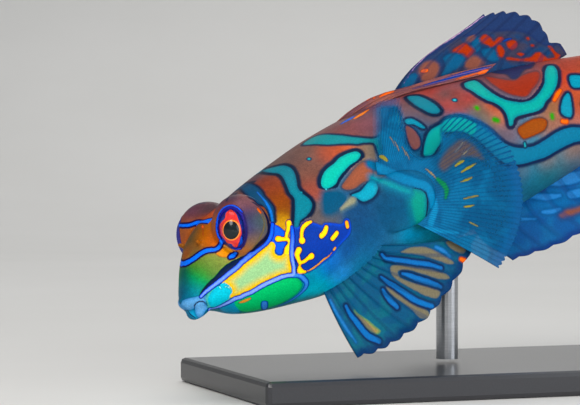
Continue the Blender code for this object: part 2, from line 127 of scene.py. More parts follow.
def smooth_values(points, x):
    """Values at x of a smooth curve through the points, with no overshoot between them."""
    xs = np.array([p[0] for p in points], float)
    ys = np.array([p[1] for p in points], float)
    x = np.clip(np.asarray(x, float), xs[0], xs[-1])
    steps = np.diff(xs)
    slopes = np.diff(ys) / steps
    tangents = np.zeros(len(xs))
    same = slopes[:-1] * slopes[1:] > 0
    harmonic = 2 * slopes[:-1] * slopes[1:] / np.where(same, slopes[:-1] + slopes[1:], 1)
    tangents[1:-1] = np.where(same, harmonic, 0)
    tangents[0], tangents[-1] = slopes[0], slopes[-1]
    i = np.clip(np.searchsorted(xs, x, side="right") - 1, 0, len(steps) - 1)
    h = steps[i]
    t = (x - xs[i]) / h
    return (
        (1 + 2 * t) * (1 - t) ** 2 * ys[i]
        + t * (1 - t) ** 2 * h * tangents[i]
        + t * t * (3 - 2 * t) * ys[i + 1]
        + t * t * (t - 1) * h * tangents[i + 1]
    )


def ease(value, low, high):
    """0 below low and 1 above high, with a smooth step between them."""
    t = np.clip((np.asarray(value, float) - low) / (high - low), 0, 1)
    return t * t * (3 - 2 * t)


def between(ends, share):
    """What stands at a share of the way from the first of two ends to the last."""
    first, last = (np.asarray(end, float) for end in ends)
    return first + (last - first) * share


def station(column, x):
    return smooth_values([(s[0], s[column]) for s in STATIONS], x)


def spine_path():
    """Distance along the spine, with the place, turn and climb there."""
    x = np.arange(SPINE_START, SPINE_REACH, SPINE_STEP)
    turn = np.radians(smooth_values(SPINE_TURN, x))
    climb = np.radians(smooth_values(SPINE_CLIMB, x))
    tangent = np.stack([np.cos(climb) * np.cos(turn), np.cos(climb) * np.sin(turn), np.sin(climb)], 1)
    place = np.cumsum(tangent, 0) * SPINE_STEP
    origin = [np.interp(SPINE_ORIGIN, x, place[:, k]) for k in range(3)]
    return x, place - origin + SPINE_PLACE, turn, climb


SPINE = spine_path()


def pose(points):
    """Moves points from the straight frame, in millimetres, to their place on the stand, in metres."""
    points = np.asarray(points, float).reshape(-1, 3)
    x, place, turn, climb = SPINE
    at = np.stack([np.interp(points[:, 0], x, place[:, k]) for k in range(3)], 1)
    a = np.interp(points[:, 0], x, turn)
    c = np.interp(points[:, 0], x, climb)
    side = np.stack([-np.sin(a), np.cos(a), np.zeros_like(a)], 1)
    up = np.stack([-np.sin(c) * np.cos(a), -np.sin(c) * np.sin(a), np.cos(c)], 1)
    b = math.radians(BANK)
    side, up = side * math.cos(b) - up * math.sin(b), up * math.cos(b) + side * math.sin(b)
    return (at + points[:, 1:2] * side + points[:, 2:3] * up) * MM


def section(x, angle, grow=0.0):
    """Point of the body's surface at x, with the angle measured from the back round the fish's right side."""
    top, bottom, half, level = (station(k, x) for k in (1, 2, 3, 4))
    c, s = np.cos(angle), np.sin(angle)
    power = 2 / np.where(c > 0, TOP_ROUNDNESS, BOTTOM_ROUNDNESS)
    reach = np.where(c > 0, top - level, level - bottom) + grow
    y = (half + grow) * np.sign(s) * np.abs(s) ** power
    z = level + reach * np.sign(c) * np.abs(c) ** power
    return np.stack(np.broadcast_arrays(x, y, z), -1)


def back(x):
    return float(station(1, x))


def belly(x):
    return float(station(2, x))


def camera_axes():
    az, el = math.radians(CAMERA_AZIMUTH), math.radians(CAMERA_ELEVATION)
    right = np.array((math.cos(az), math.sin(az), 0.0))
    forward = np.array((-math.sin(az) * math.cos(el), math.cos(az) * math.cos(el), -math.sin(el)))
    place = np.array(CAMERA_TARGET) - forward * CAMERA_DISTANCE
    return place, right, np.cross(right, forward), forward


FOCAL_PIXELS = CAMERA_LENS / SENSOR_WIDTH * PHOTO_SIZE[0]


def to_pixels(points):
    """Where points in metres show in the photograph's frame."""
    place, right, up, forward = camera_axes()
    rel = np.asarray(points) - place
    depth = rel @ forward
    px = PHOTO_SIZE[0] / 2 + FOCAL_PIXELS * (rel @ right) / depth
    py = PHOTO_SIZE[1] / 2 - FOCAL_PIXELS * (rel @ up) / depth
    return np.stack([px, py], 1)


def pixel_ray(px, py):
    place, right, up, forward = camera_axes()
    across = (px - PHOTO_SIZE[0] / 2) / FOCAL_PIXELS
    down = (py - PHOTO_SIZE[1] / 2) / FOCAL_PIXELS
    way = forward + right * across - up * down
    return Vector(place), Vector(way).normalized()


def srgb(r, g, b):
    """A colour in 0 to 255 steps as the linear light values that shaders use."""
    c = np.array((r, g, b), float) / 255
    return tuple(np.where(c <= 0.04045, c / 12.92, ((c + 0.055) / 1.055) ** 2.4))


def build_camera():
    data = bpy.data.cameras.new("camera")
    data.lens = CAMERA_LENS
    data.sensor_width = SENSOR_WIDTH
    data.clip_start = 0.005
    data.clip_end = 20
    camera = bpy.data.objects.new("camera", data)
    bpy.context.scene.collection.objects.link(camera)
    camera.location = camera_axes()[0]
    camera.rotation_euler = (math.radians(90 - CAMERA_ELEVATION), 0, math.radians(CAMERA_AZIMUTH))
    bpy.context.scene.camera = camera


def smooth_curve(points, closed, per=6):
    """A soft curve through the points, closed or open."""
    pts = np.array(points, float)
    n = len(pts)
    if n < 3 and not closed:
        return np.array([pts[0] + (pts[-1] - pts[0]) * k / per for k in range(per + 1)])
    out = []
    for i in range(n if closed else n - 1):
        p1, p2 = pts[i], pts[(i + 1) % n]
        p0 = pts[(i - 1) % n] if closed or i > 0 else 2 * p1 - p2
        p3 = pts[(i + 2) % n] if closed or i + 2 < n else 2 * p2 - p1
        for k in range(per):
            t = k / per
            bend = 2 * p0 - 5 * p1 + 4 * p2 - p3
            twist = 3 * p1 - p0 - 3 * p2 + p3
            out.append(0.5 * (2 * p1 + (p2 - p0) * t + bend * t * t + twist * t**3))
    if not closed:
        out.append(pts[-1])
    return np.array(out)


def inside_outline(outline, points):
    """Which 2D points lie within a closed outline."""
    inside = np.zeros(len(points), bool)
    x, y = points[:, 0], points[:, 1]
    for (x1, y1), (x2, y2) in zip(outline, np.roll(outline, -1, 0)):
        if y1 != y2:
            cross = (y1 > y) != (y2 > y)
            inside ^= cross & (x < (x2 - x1) * (y - y1) / (y2 - y1) + x1)
    return inside


class Finish:
    """How a mark is coloured: its core, the edge inside its outline and a rim outside. Widths are in mm."""

    def __init__(self, core, edge, rim, rim_width, soft, depth):
        self.values = np.array((*srgb(*core), *srgb(*edge), *srgb(*rim), rim_width, soft, depth))

    def at(self, share):
        return self.values


class Fade:
    """A finish that changes from the first to the last along a line."""

    def __init__(self, first, last):
        self.ends = first.values, last.values

    def at(self, share):
        return between(self.ends, share[:, None])


# How marks are laid on a surface. In mm: how far from its outline a mark is known, the longest step of a line
# over the surface, a distance that counts as far, half the soft edge of a see-through part, the width of the
# band that a line of relief takes, and how far across the midline a mark of one side may run. In pixels: how
# far round an outline its vertices are looked for.
REACH = 0.9
LONGEST_STEP = 1.5
FAR = 9.0
VEIL_EDGE = 0.25
RELIEF_BAND = 0.5
MIDLINE_REACH = 1.0
OUTLINE_MARGIN = 14
# A vertex counts as seen where a step along its normal points less than this share away from the camera.
SEEN_LIMIT = 0.15
NORMAL_STEP = 0.1
# The values of a vertex with no mark: three black colours, then rim width, softness and edge depth.
NO_MARK = (*[0.0] * 10, 0.05, 0.15)


class Layer:
    """Marks of one layer: for each vertex the distance to the nearest mark's outline, and its finish."""

    def __init__(self, count):
        self.distance = np.full(count, REACH)
        self.values = np.tile(NO_MARK, (count, 1))

    def add(self, index, distance, share, finish):
        nearer = distance < self.distance[index]
        self.distance[index[nearer]] = distance[nearer]
        self.values[index[nearer]] = finish.at(share[nearer])


class Canvas:
    """A surface that takes marks at points of the photograph's frame, on both sides alike if it is folded."""

    def __init__(self, straight, faces, normals, folded):
        self.own = straight
        self.points = straight.copy()
        if folded:
            self.points[:, 1] = -np.abs(straight[:, 1])
        self.posed = pose(straight)
        self.tree = BVHTree.FromPolygons([tuple(v) for v in self.posed], faces)
        self.faces = faces
        self.folded = folded
        self.pixels = to_pixels(pose(self.points))
        self.seen = np.ones(len(straight), bool)
        if folded:
            facing = normals.copy()
            facing[:, 1] *= np.where(straight[:, 1] > 0, -1, 1)
            tip = pose(self.points + facing * NORMAL_STEP) - pose(self.points)
            self.seen = tip / np.linalg.norm(tip, axis=1, keepdims=True) @ camera_axes()[3] < SEEN_LIMIT
        self.layers = [Layer(len(straight)) for _ in range(3)]
        self.veils = {"web_veil": np.ones(len(straight)), "ray_veil": np.ones(len(straight))}

    def place(self, px, py):
        """The surface point that shows at a pixel, in the straight frame, or None."""
        origin, way = pixel_ray(px, py)
        hit, _, face, _ = self.tree.ray_cast(origin, way)
        if hit is None:
            return None
        corners = list(self.faces[face])
        away = np.linalg.norm(self.posed[corners] - np.array(hit), axis=1)
        weight = 1 / (away**2 + 1e-12)
        point = (self.own[corners] * weight[:, None]).sum(0) / weight.sum()
        if self.folded:
            point[1] = -abs(point[1])
        return point

    def chain(self, curve, closed):
        """The curve's segments on the surface, as pairs of ends with their shares along the curve."""
        placed = [self.place(*p) for p in curve]
        count = len(placed)
        pairs = []
        for k in range(count if closed else count - 1):
            a, b = placed[k], placed[(k + 1) % count]
            if a is not None and b is not None and np.linalg.norm(a - b) < LONGEST_STEP:
                pairs.append((a, b, k / (count - 1), (k + 1) / (count - 1)))
        return pairs

    def near(self, pairs, width):
        if not pairs:
            return np.zeros(0, int)
        ends = np.array([p[:2] for p in pairs]).reshape(-1, 3)
        low, high = ends.min(0) - REACH - width, ends.max(0) + REACH + width
        return np.nonzero(np.all((self.points > low) & (self.points < high), axis=1))[0]

    def distances(self, index, pairs, widths=(0.0,)):
        """Distances from a line's edge, with the share along it at which each is measured."""
        best = np.full(len(index), FAR)
        share = np.zeros(len(index))
        at = self.points[index]
        shares = np.linspace(0, 1, len(widths))
        for a, b, ta, tb in pairs:
            way = b - a
            t = np.clip((at - a) @ way / max(way @ way, 1e-12), 0, 1)
            along = ta + (tb - ta) * t
            gap = np.linalg.norm(at - a - t[:, None] * way, axis=1) - np.interp(along, shares, widths)
            share = np.where(gap < best, along, share)
            best = np.minimum(best, gap)
        return best, share

    def stroke(self, layer, finish, widths, way):
        """A line through points of the straight frame."""
        count = len(way) - 1
        pairs = [(way[k], way[k + 1], k / count, (k + 1) / count) for k in range(count)]
        widths = np.atleast_1d(widths)
        index = self.near(pairs, widths.max())
        self.layers[layer].add(index, *self.distances(index, pairs, widths), finish)

    def line(self, layer, finish, widths, points, side=0):
        """A line of one width or several, on both sides, or on the fish's left (-1) or right (1)."""
        widths = np.atleast_1d(widths)
        pairs = self.chain(smooth_curve(points, False), False)
        index = self.near(pairs, widths.max())
        if side:
            index = index[self.own[index, 1] * side > -MIDLINE_REACH]
        self.layers[layer].add(index, *self.distances(index, pairs, widths), finish)

    def outlined(self, points):
        """Vertices near an outline, with their distances from it, below zero inside, and shares along it."""
        outline = smooth_curve(points, True)
        pairs = self.chain(outline, True)
        low = outline.min(0) - OUTLINE_MARGIN
        high = outline.max(0) + OUTLINE_MARGIN
        index = np.nonzero(np.all((self.pixels > low) & (self.pixels < high), axis=1))[0]
        distance, share = self.distances(index, pairs)
        distance = np.minimum(distance, REACH)
        inside = inside_outline(outline, self.pixels[index]) & self.seen[index]
        return index, np.where(inside, -distance, distance), share

    def patch(self, layer, finish, points):
        self.layers[layer].add(*self.outlined(points), finish)

    def veil(self, web_share, ray_share, points):
        """Makes the web and the rays inside an outline more see-through, down to shares of what they were."""
        index, distance, _ = self.outlined(points)
        inside = ease(-distance, -VEIL_EDGE, VEIL_EDGE)
        self.veils["web_veil"][index] *= 1 - (1 - web_share) * inside
        self.veils["ray_veil"][index] *= 1 - (1 - ray_share) * inside

    def distance_to(self, points):
        """Distance of every vertex from a line, for relief."""
        pairs = self.chain(smooth_curve(points, False), False)
        index = self.near(pairs, RELIEF_BAND)
        found = np.full(len(self.points), FAR)
        found[index] = self.distances(index, pairs)[0]
        return found

    def write(self, mesh):
        """Stores the layers as attributes of the mesh."""
        for k, layer in enumerate(self.layers):
            store(mesh, f"distance_{k}", layer.distance)
            for j, name in enumerate(("core", "edge", "rim", "shape")):
                store(mesh, f"{name}_{k}", layer.values[:, 3 * j:3 * j + 3])


def store(mesh, name, values):
    """Keeps one number or one vector for each vertex as an attribute."""
    values = np.asarray(values, np.float32)
    kind, key = ("FLOAT", "value") if values.ndim == 1 else ("FLOAT_VECTOR", "vector")
    attribute = mesh.attributes.get(name) or mesh.attributes.new(name, kind, "POINT")
    attribute.data.foreach_set(key, values.ravel())


class Nodes:
    """Short ways to add shader nodes."""

    def __init__(self, name):
        self.material = bpy.data.materials.new(name)
        self.material.use_nodes = True
        self.tree = self.material.node_tree
        self.shader = self.tree.nodes["Principled BSDF"]

    def link(self, value, socket):
        if isinstance(value, bpy.types.NodeSocket):
            self.tree.links.new(value, socket)
        else:
            if isinstance(value, tuple) and len(value) == 3 and len(socket.default_value) == 4:
                value = (*value, 1)
            socket.default_value = value

    def add(self, kind, output, inputs=None, **settings):
        """One output of a new node. inputs holds values or sockets by the name or number of the input."""
        node = self.tree.nodes.new("ShaderNode" + kind)
        for name, value in settings.items():
            setattr(node, name, value)
        for name, value in (inputs or {}).items():
            self.link(value, node.inputs[name])
        return node.outputs[output]

    def math(self, operation, *values):
        return self.add("Math", 0, dict(enumerate(values)), operation=operation)

    def vector(self, operation, *values):
        return self.add("VectorMath", 0, dict(enumerate(values)), operation=operation)

    def ramp(self, value, low, high):
        """0 where value is at low and 1 at high."""
        ends = {"Value": value, "From Min": low, "From Max": high}
        return self.add("MapRange", "Result", ends, interpolation_type="SMOOTHSTEP")

    def mix(self, share, first, second):
        node = self.tree.nodes.new("ShaderNodeMix")
        node.data_type = "RGBA"
        node.clamp_factor = True
        self.link(share, node.inputs[0])
        for value, socket in zip((first, second), (s for s in node.inputs if s.type == "RGBA")):
            self.link(value, socket)
        return next(s for s in node.outputs if s.type == "RGBA")

    def scale_colour(self, colour, factor):
        return self.add("VectorMath", 0, {0: colour, "Scale": factor}, operation="SCALE")

    def clear_colour(self, colour):
        """The colour a little purer and darker."""
        values = {"Color": colour, "Saturation": COLOUR_PURITY, "Value": COLOUR_LIGHTNESS}
        return self.add("HueSaturation", 0, values)

    def attribute(self, name, kind="Fac"):
        return self.add("Attribute", kind, attribute_name=name)

    def millimetres(self):
        """The place on the surface in millimetres."""
        return self.scale_colour(self.add("TexCoord", "Object"), 1 / MM)

    def noise(self, place, scale, detail=2.0, roughness=0.5, distortion=0.0):
        values = {"Vector": place, "Scale": scale, "Detail": detail, "Roughness": roughness}
        return self.add("TexNoise", "Fac", {**values, "Distortion": distortion})

    def grained(self, colour, grain, depth, least):
        """A colour that a grain darkens and lightens: its factor runs from least to least + depth."""
        return self.scale_colour(colour, self.math("ADD", self.math("MULTIPLY", grain, depth), least))

    def bump(self, height, distance, strength=1.0):
        return self.add("Bump", "Normal", {"Height": height, "Distance": distance, "Strength": strength})

    def surface(self, **values):
        for name, value in values.items():
            self.link(value, self.shader.inputs[name.replace("_", " ").title().replace("Ior", "IOR")])
        return self.material


# Half the width of the step from a mark's rim to its fill, as a share of the rim's softness, and the least
# width in mm of the step from the ground to the rim.
FILL_SOFTNESS = 0.35
LEAST_STEP = 0.01


def painted_colour(nodes, ground, place, wobble=0.035):
    """The ground colour with the three layers of marks over it. Their outlines waver by the wobble in mm."""
    cloud = nodes.noise(place, scale=1.6, detail=3.0, roughness=0.6)
    waver = nodes.math("MULTIPLY", nodes.math("SUBTRACT", cloud, 0.5), wobble * 2)
    colour = ground
    for k in range(3):
        distance = nodes.math("ADD", nodes.attribute(f"distance_{k}"), waver)
        shape = nodes.add("SeparateXYZ", 0, {0: nodes.attribute(f"shape_{k}", "Vector")}).node
        rim_width, soft, depth = shape.outputs
        outer = nodes.math("ADD", rim_width, soft)
        beyond = nodes.math("SUBTRACT", rim_width, soft)
        inner = nodes.math("MINIMUM", beyond, nodes.math("SUBTRACT", outer, LEAST_STEP))
        rim_share = nodes.ramp(distance, outer, inner)
        half = nodes.math("MULTIPLY", soft, FILL_SOFTNESS)
        fill_share = nodes.ramp(distance, half, nodes.math("MULTIPLY", half, -1.0))
        core_share = nodes.ramp(nodes.math("MULTIPLY", distance, -1.0), 0.0, depth)
        rim, edge, core = (nodes.attribute(f"{name}_{k}", "Vector") for name in ("rim", "edge", "core"))
        marked = nodes.mix(fill_share, rim, nodes.mix(core_share, edge, core))
        colour = nodes.mix(rim_share, colour, marked)
    return colour


def mesh_object(name, vertices, faces):
    mesh = bpy.data.meshes.new(name)
    mesh.from_pydata([tuple(v) for v in vertices], [], faces)
    made = bpy.data.objects.new(name, mesh)
    bpy.context.scene.collection.objects.link(made)
    return made


def read_mesh(mesh):
    points = np.zeros(len(mesh.vertices) * 3, np.float32)
    mesh.vertices.foreach_get("co", points)
    normals = np.zeros(len(mesh.vertices) * 3, np.float32)
    mesh.vertices.foreach_get("normal", normals)
    return points.reshape(-1, 3).astype(float), normals.reshape(-1, 3).astype(float)


def grid_faces(rows, columns, closed=False, start=0):
    """Quads of a grid of points, whose rows are closed loops if asked."""
    faces = []
    for i in range(rows - 1):
        for k in range(columns if closed else columns - 1):
            a, b = start + i * columns + k, start + i * columns + (k + 1) % columns
            faces.append((a, b, b + columns, a + columns))
    return faces


def closed_rings(rings, start=0):
    """Vertices and faces of a closed body through rings of points."""
    rings = np.asarray(rings)
    count, around = rings.shape[:2]
    faces = grid_faces(count, around, True, start)
    faces.append(tuple(start + k for k in reversed(range(around))))
    faces.append(tuple(start + (count - 1) * around + k for k in range(around)))
    return rings.reshape(-1, 3), faces


# The angle that a ball's first and last ring leave open at its poles.
POLE_GAP = 0.02


def ball_rings(centre, axes, halves, segments=56, rings=40):
    """Rings of an ellipsoid, its third half size along the third axis."""
    turn = np.arange(segments) * 2 * math.pi / segments
    tilt = np.linspace(POLE_GAP, math.pi - POLE_GAP, rings)[:, None]
    height = np.repeat(np.cos(tilt), segments, 1)
    local = np.stack([np.sin(tilt) * np.cos(turn), np.sin(tilt) * np.sin(turn), height], -1)
    return np.asarray(centre) + (local * halves) @ np.asarray(axes)


# Rings that round off a tube's end, as shares of its radius beyond it, and a way that no tube runs along.
CAP_SHARES = (0.9, 0.6, 0.2)
TUBE_UP = (0.13, 0.21, 1.0)


def tube_rings(path, radii, around=28):
    """Rings of a round tube along a path, with rounded ends."""
    path = np.asarray(path, float)
    ways = np.gradient(path, axis=0)
    ways /= np.linalg.norm(ways, axis=1, keepdims=True)
    turn = np.arange(around) * 2 * math.pi / around
    rings = []
    for place, way, radius in zip(path, ways, radii):
        side = np.cross(TUBE_UP, way)
        side /= np.linalg.norm(side)
        other = np.cross(way, side)
        rings.append(place + radius * (np.cos(turn)[:, None] * side + np.sin(turn)[:, None] * other))

    def cap(end, way, shares):
        rim = rings[end] - path[end]
        return [path[end] + way * radii[end] * c + rim * math.sqrt(1 - c * c) for c in shares]

    return np.array(cap(0, -ways[0], CAP_SHARES) + rings + cap(-1, ways[-1], reversed(CAP_SHARES)))


def eye_axes(side):
    """Axes of an eye: along the head, up and outwards. Side is -1 on the fish's left and 1 on its right."""
    out = Vector(EYE_AIM[side]).normalized()
    along = Vector(EYE_UPRIGHT).cross(out).normalized()
    return along, out.cross(along), out


def dome_axes(side):
    """Axes of the dome round an eye, alike on both sides whichever way the eyes look."""
    out = Vector((EYE_AIM[-1][0], side * abs(EYE_AIM[-1][1]), EYE_AIM[-1][2])).normalized()
    along = Vector((0, 0, 1)).cross(out).normalized()
    return along, out.cross(along), out


def on_side(point, side):
    """A point of the fish's right side, on the side asked for: -1 for the left and 1 for the right."""
    return np.array(point) * (1, side, 1)


def lip_path(lip, points=25):
    """The centre line of a lip, a bow from one corner of the mouth to the other, with its radii."""
    x, z, radius, half_width = lip
    across = np.linspace(-1, 1, points)
    path = np.stack([x + MOUTH_DEPTH * across**2, half_width * across, np.full(points, z)], 1)
    path[:, 2] += (MOUTH_CORNER_HEIGHT - z) * LIP_RISE * across**2
    return path, radius * (1 - LIP_TAPER * across**4)


# Pectoral fins: the centre of the fan, its first and last ray in degrees above the body's axis and how far
# the fan swings out from the flank, how long its longest ray is from that centre, and the share of that
# length which the shortest ray has. The fleshy pad fills the middle.
PECTORAL_CENTRE = (17.8, 5.3, 1.2)
PECTORAL_FANS = {-1: (79.0, -44.0, 12.0), 1: (48.0, -58.0, 22.0)}
PECTORAL_LENGTH = 12.0
PECTORAL_SHORTEST = 0.72
PECTORAL_INNER = 2.6
PAD_HALF = (3.4, 2.35, 0.8)
PAD_SHIFT = 1.5


def pectoral_axes(side):
    flare = math.radians(PECTORAL_FANS[side][2])
    along = Vector((math.cos(flare), side * math.sin(flare), 0))
    up = Vector((-0.05, side * 0.10, 1)).normalized()
    along = (along - up * along.dot(up)).normalized()
    return along, up, along.cross(up)


# Rows of points along the body, from, to and how many, closer at the snout, and points round each row.
BODY_ROWS = ((0.35, 4, 30), (4.15, BODY_LENGTH, 150))
ROW_POINTS = 120
# A nostril's tube: places along its way and widths, as shares of that way and of its radius.
NOSTRIL_TUBE = ((-0.9, 1.4), (0, 1.2), (0.3, 1))


def skin_shells():
    """The body, eye domes, lips, nostrils and fin pads as closed shells that overlap."""
    xs = np.concatenate([np.linspace(*row) for row in BODY_ROWS])
    angles = np.arange(ROW_POINTS) * 2 * math.pi / ROW_POINTS
    shells = [np.array([section(np.full(len(angles), x), angles) for x in xs])]
    for side in (-1, 1):
        shells.append(ball_rings(on_side(EYE_CENTRE, side), dome_axes(side), EYE_DOME_HALF))
        tip, out = on_side(NOSTRIL, side), on_side(NOSTRIL_WAY, side)
        radii = [NOSTRIL_RADIUS * width for _, width in NOSTRIL_TUBE]
        shells.append(tube_rings([tip + out * share for share, _ in NOSTRIL_TUBE], radii, 16))
        along, up, out = pectoral_axes(side)
        centre = on_side(PECTORAL_CENTRE, side) + np.array(along) * PAD_SHIFT
        shells.append(ball_rings(centre, (along, up, out), PAD_HALF))
    for lip in (UPPER_LIP, LOWER_LIP):
        shells.append(tube_rings(*lip_path(lip)))
    vertices, faces = [], []
    for rings in shells:
        points, quads = closed_rings(rings, sum(len(v) for v in vertices))
        vertices.append(points)
        faces += quads
    return np.concatenate(vertices), faces


def fuse_skin():
    """One smooth closed surface round all the shells, still in the straight frame."""
    vertices, faces = skin_shells()
    made = mesh_object("skin_shells", vertices, faces)
    fuse = made.modifiers.new("fuse", "REMESH")
    fuse.mode = "VOXEL"
    fuse.voxel_size = SKIN_VOXEL
    soften = made.modifiers.new("soften", "SMOOTH")
    soften.factor = 0.5
    soften.iterations = SKIN_SMOOTHING
    bpy.context.view_layer.update()
    mesh = bpy.data.meshes.new_from_object(made.evaluated_get(bpy.context.evaluated_depsgraph_get()))
    bpy.data.objects.remove(made)
    return mesh


def open_sockets(points):
    """Sinks the skin under each eye and lifts a soft lid round it."""
    moved = points.copy()
    for side in (-1, 1):
        along, up, out = (np.array(v) for v in eye_axes(side))
        rel = points - on_side(EYE_CENTRE, side)
        reach = rel @ out
        q = np.sqrt(((rel @ along - EYE_SLIDE) / IRIS_HALF[0]) ** 2 + (rel @ up / IRIS_HALF[1]) ** 2)
        front = (reach > SOCKET_FRONT) & (np.linalg.norm(rel, axis=1) < SOCKET_REACH)
        lid = LID_HEIGHT * np.exp(-(((q - 1.0) / LID_WIDTH) ** 2))
        ball = (EYE_DEPTH + EYE_PROUD) * np.sqrt(np.clip(1 - q * q, 0, 1))
        floor = EYE_DOME_HALF[2] - EYE_DEPTH + ball - SOCKET_GAP
        sink = np.minimum(floor - reach, 0) * ease(-q, -SOCKET_SHARES[1], -SOCKET_SHARES[0])
        moved += np.where(front, lid + sink, 0)[:, None] * out
    return moved


# Lines of relief on both sides of the head: depth and half width in mm, and points of the photograph's frame.
CREASES = (
    (0.16, 0.16, ((194.2, 309), (195.8, 305), (199.6, 301.7), (203.5, 299.5))),
    (0.10, 0.20, ((199, 296), (206, 286.5), (214, 280), (222, 273), (230, 267), (240, 261.5), (250, 254.5))),
    (0.12, 0.25, (
        (250, 254), (258, 247), (265, 240), (269, 231), (268, 219), (264, 210), (258, 203), (250, 198))),
    (-0.05, 0.14, (
        (218.4, 236), (217.2, 229), (217.7, 222), (219, 215.5), (222, 210), (226, 207), (231, 206),
        (236, 208.5), (241, 212), (244, 219), (245.5, 226), (245.8, 234), (244, 242), (240, 248))),
)

# Colours of the marks. Each is a core, an edge, a rim, and in mm the rim's width, its softness and the depth
# from the outline at which the edge has become the core.
AZURE = Finish((18, 118, 255), (10, 88, 235), (20, 10, 58), 0.14, 0.05, 0.10)
PERIWINKLE = Finish((140, 176, 250), (20, 72, 235), (2, 10, 84), 0.06, 0.05, 0.12)
DEEP_BLUE = Finish((30, 104, 242), (12, 70, 226), (4, 14, 84), 0.06, 0.05, 0.12)
SOFT_BLUE = Finish((74, 150, 240), (24, 92, 215), (8, 50, 120), 0.06, 0.06, 0.12)
SPINE_BLUE = Finish((24, 88, 200), (20, 70, 170), (30, 40, 90), 0.04, 0.06, 0.08)
SPINE_ORANGE = Finish((250, 130, 20), (236, 110, 24), (110, 60, 50), 0.04, 0.06, 0.08)
CHEEK_LINE = Fade(PERIWINKLE, DEEP_BLUE)
GILL_LINE = Fade(DEEP_BLUE, PERIWINKLE)
YELLOW = Finish((255, 232, 44), (246, 156, 8), (6, 10, 84), 0.06, 0.05, 0.12)
AMBER = Finish((255, 186, 44), (240, 130, 20), (8, 16, 84), 0.06, 0.05, 0.10)
THIN_ORANGE = Finish((235, 160, 60), (210, 120, 40), (20, 40, 100), 0.03, 0.05, 0.05)
THIN_RED = Finish((170, 60, 30), (150, 50, 30), (130, 60, 30), 0.0, 0.05, 0.05)
PANEL = Finish((158, 206, 144), (250, 194, 0), (120, 110, 20), 0.02, 0.03, 0.80)
ROYAL = Finish((6, 56, 160), (8, 70, 206), (8, 40, 118), 0.05, 0.14, 0.30)
NODE_BLUE = Finish((20, 92, 240), (10, 64, 210), (4, 14, 84), 0.05, 0.05, 0.12)
GREEN = Finish((0, 204, 112), (0, 180, 100), (0, 84, 104), 0.05, 0.12, 0.25)
# A painted sheen: the cyan reflection on the cheek, soft at its edges so that it runs over the panel's front
# end.
TURQUOISE_SHEEN = Finish((0, 200, 222), (20, 186, 214), (90, 200, 170), 0.12, 0.26, 0.35)
NAVY = Finish((8, 30, 66), (4, 18, 48), (20, 130, 40), 0.03, 0.03, 0.12)
INK = Finish((8, 20, 56), (16, 24, 60), (24, 34, 70), 0.02, 0.04, 0.05)
GROOVE = Finish((10, 16, 52), (20, 22, 58), (44, 36, 66), 0.06, 0.10, 0.10)
TEAL = Finish((0, 124, 142), (0, 98, 124), (8, 26, 52), 0.36, 0.13, 0.22)
DORSAL_TEAL = Finish((0, 140, 146), (0, 112, 130), (22, 38, 66), 0.24, 0.12, 0.20)
BRIGHT_TEAL = Finish((0, 188, 166), (0, 160, 160), (10, 34, 62), 0.40, 0.13, 0.30)
CYAN = Finish((0, 158, 184), (0, 134, 162), (8, 40, 74), 0.26, 0.16, 0.25)
DARK_TEAL = Finish((0, 70, 108), (4, 50, 88), (12, 24, 52), 0.18, 0.12, 0.20)
BAR_BLUE = Finish((24, 116, 210), (10, 92, 170), (6, 50, 110), 0.03, 0.06, 0.10)
SADDLE = Finish((0, 160, 150), (0, 132, 144), (26, 30, 60), 0.34, 0.13, 0.32)
LATERAL = Finish((0, 116, 152), (0, 104, 144), (14, 36, 72), 0.32, 0.14, 0.30)
LATERAL_GREEN = Finish((0, 168, 156), (0, 140, 150), (14, 36, 68), 0.34, 0.13, 0.25)
SMALL_TEAL = Finish((0, 140, 166), (0, 118, 146), (22, 34, 64), 0.24, 0.12, 0.20)
ORANGE = Finish((154, 72, 4), (146, 60, 6), (80, 48, 38), 0.12, 0.14, 0.25)
VIVID_ORANGE = Finish((244, 112, 40), (228, 90, 30), (150, 66, 40), 0.08, 0.08, 0.15)
RED = Finish((150, 50, 32), (140, 50, 38), (80, 44, 50), 0.14, 0.26, 0.30)
SLATE = Finish((34, 40, 82), (40, 42, 74), (60, 46, 62), 0.12, 0.14, 0.20)
SMUDGE = Finish((0, 80, 116), (0, 78, 112), (10, 76, 108), 0.10, 0.40, 0.40)
TAN = Finish((144, 142, 116), (126, 130, 112), (84, 112, 112), 0.10, 0.30, 0.20)
RUST = Finish((154, 86, 62), (132, 78, 62), (50, 56, 72), 0.14, 0.22, 0.40)
BROWN = Finish((128, 74, 66), (114, 70, 72), (12, 40, 76), 0.20, 0.14, 0.20)
GREEN_DOT = Finish((40, 150, 16), (80, 130, 40), (110, 112, 60), 0.10, 0.14, 0.15)
TEAL_DOT = Finish((40, 170, 180), (10, 100, 120), (14, 50, 80), 0.10, 0.08, 0.10)
# Painted glints: small white highlights of the wet skin.
PAINTED_GLINT = Finish((200, 240, 240), (120, 220, 225), (0, 150, 170), 0.03, 0.05, 0.06)
EYE_PATCH = Finish((240, 150, 44), (226, 132, 40), (150, 96, 40), 0.05, 0.10, 0.15)
EYE_BLUE = Finish((40, 40, 150), (44, 60, 190), (50, 36, 90), 0.02, 0.06, 0.16)
EYE_RING = Finish((40, 96, 232), (34, 60, 190), (34, 20, 76), 0.05, 0.06, 0.06)
EYE_SHADE = Finish((34, 30, 96), (40, 32, 92), (56, 38, 84), 0.05, 0.08, 0.06)
OLIVE_LINE = Finish((128, 106, 50), (110, 92, 56), (80, 84, 80), 0.02, 0.08, 0.05)
LIP = Finish((100, 166, 220), (70, 144, 204), (12, 84, 128), 0.05, 0.10, 0.30)
CHIN = Finish((26, 160, 206), (12, 130, 178), (6, 98, 134), 0.05, 0.15, 0.25)
PAD_BAND = Finish((4, 106, 152), (0, 98, 144), (0, 84, 128), 0.12, 0.26, 0.20)
PAD_EDGE = Finish((30, 134, 182), (16, 118, 168), (0, 90, 138), 0.12, 0.26, 0.20)
PAD_START = Fade(PAD_EDGE, PAD_BAND)
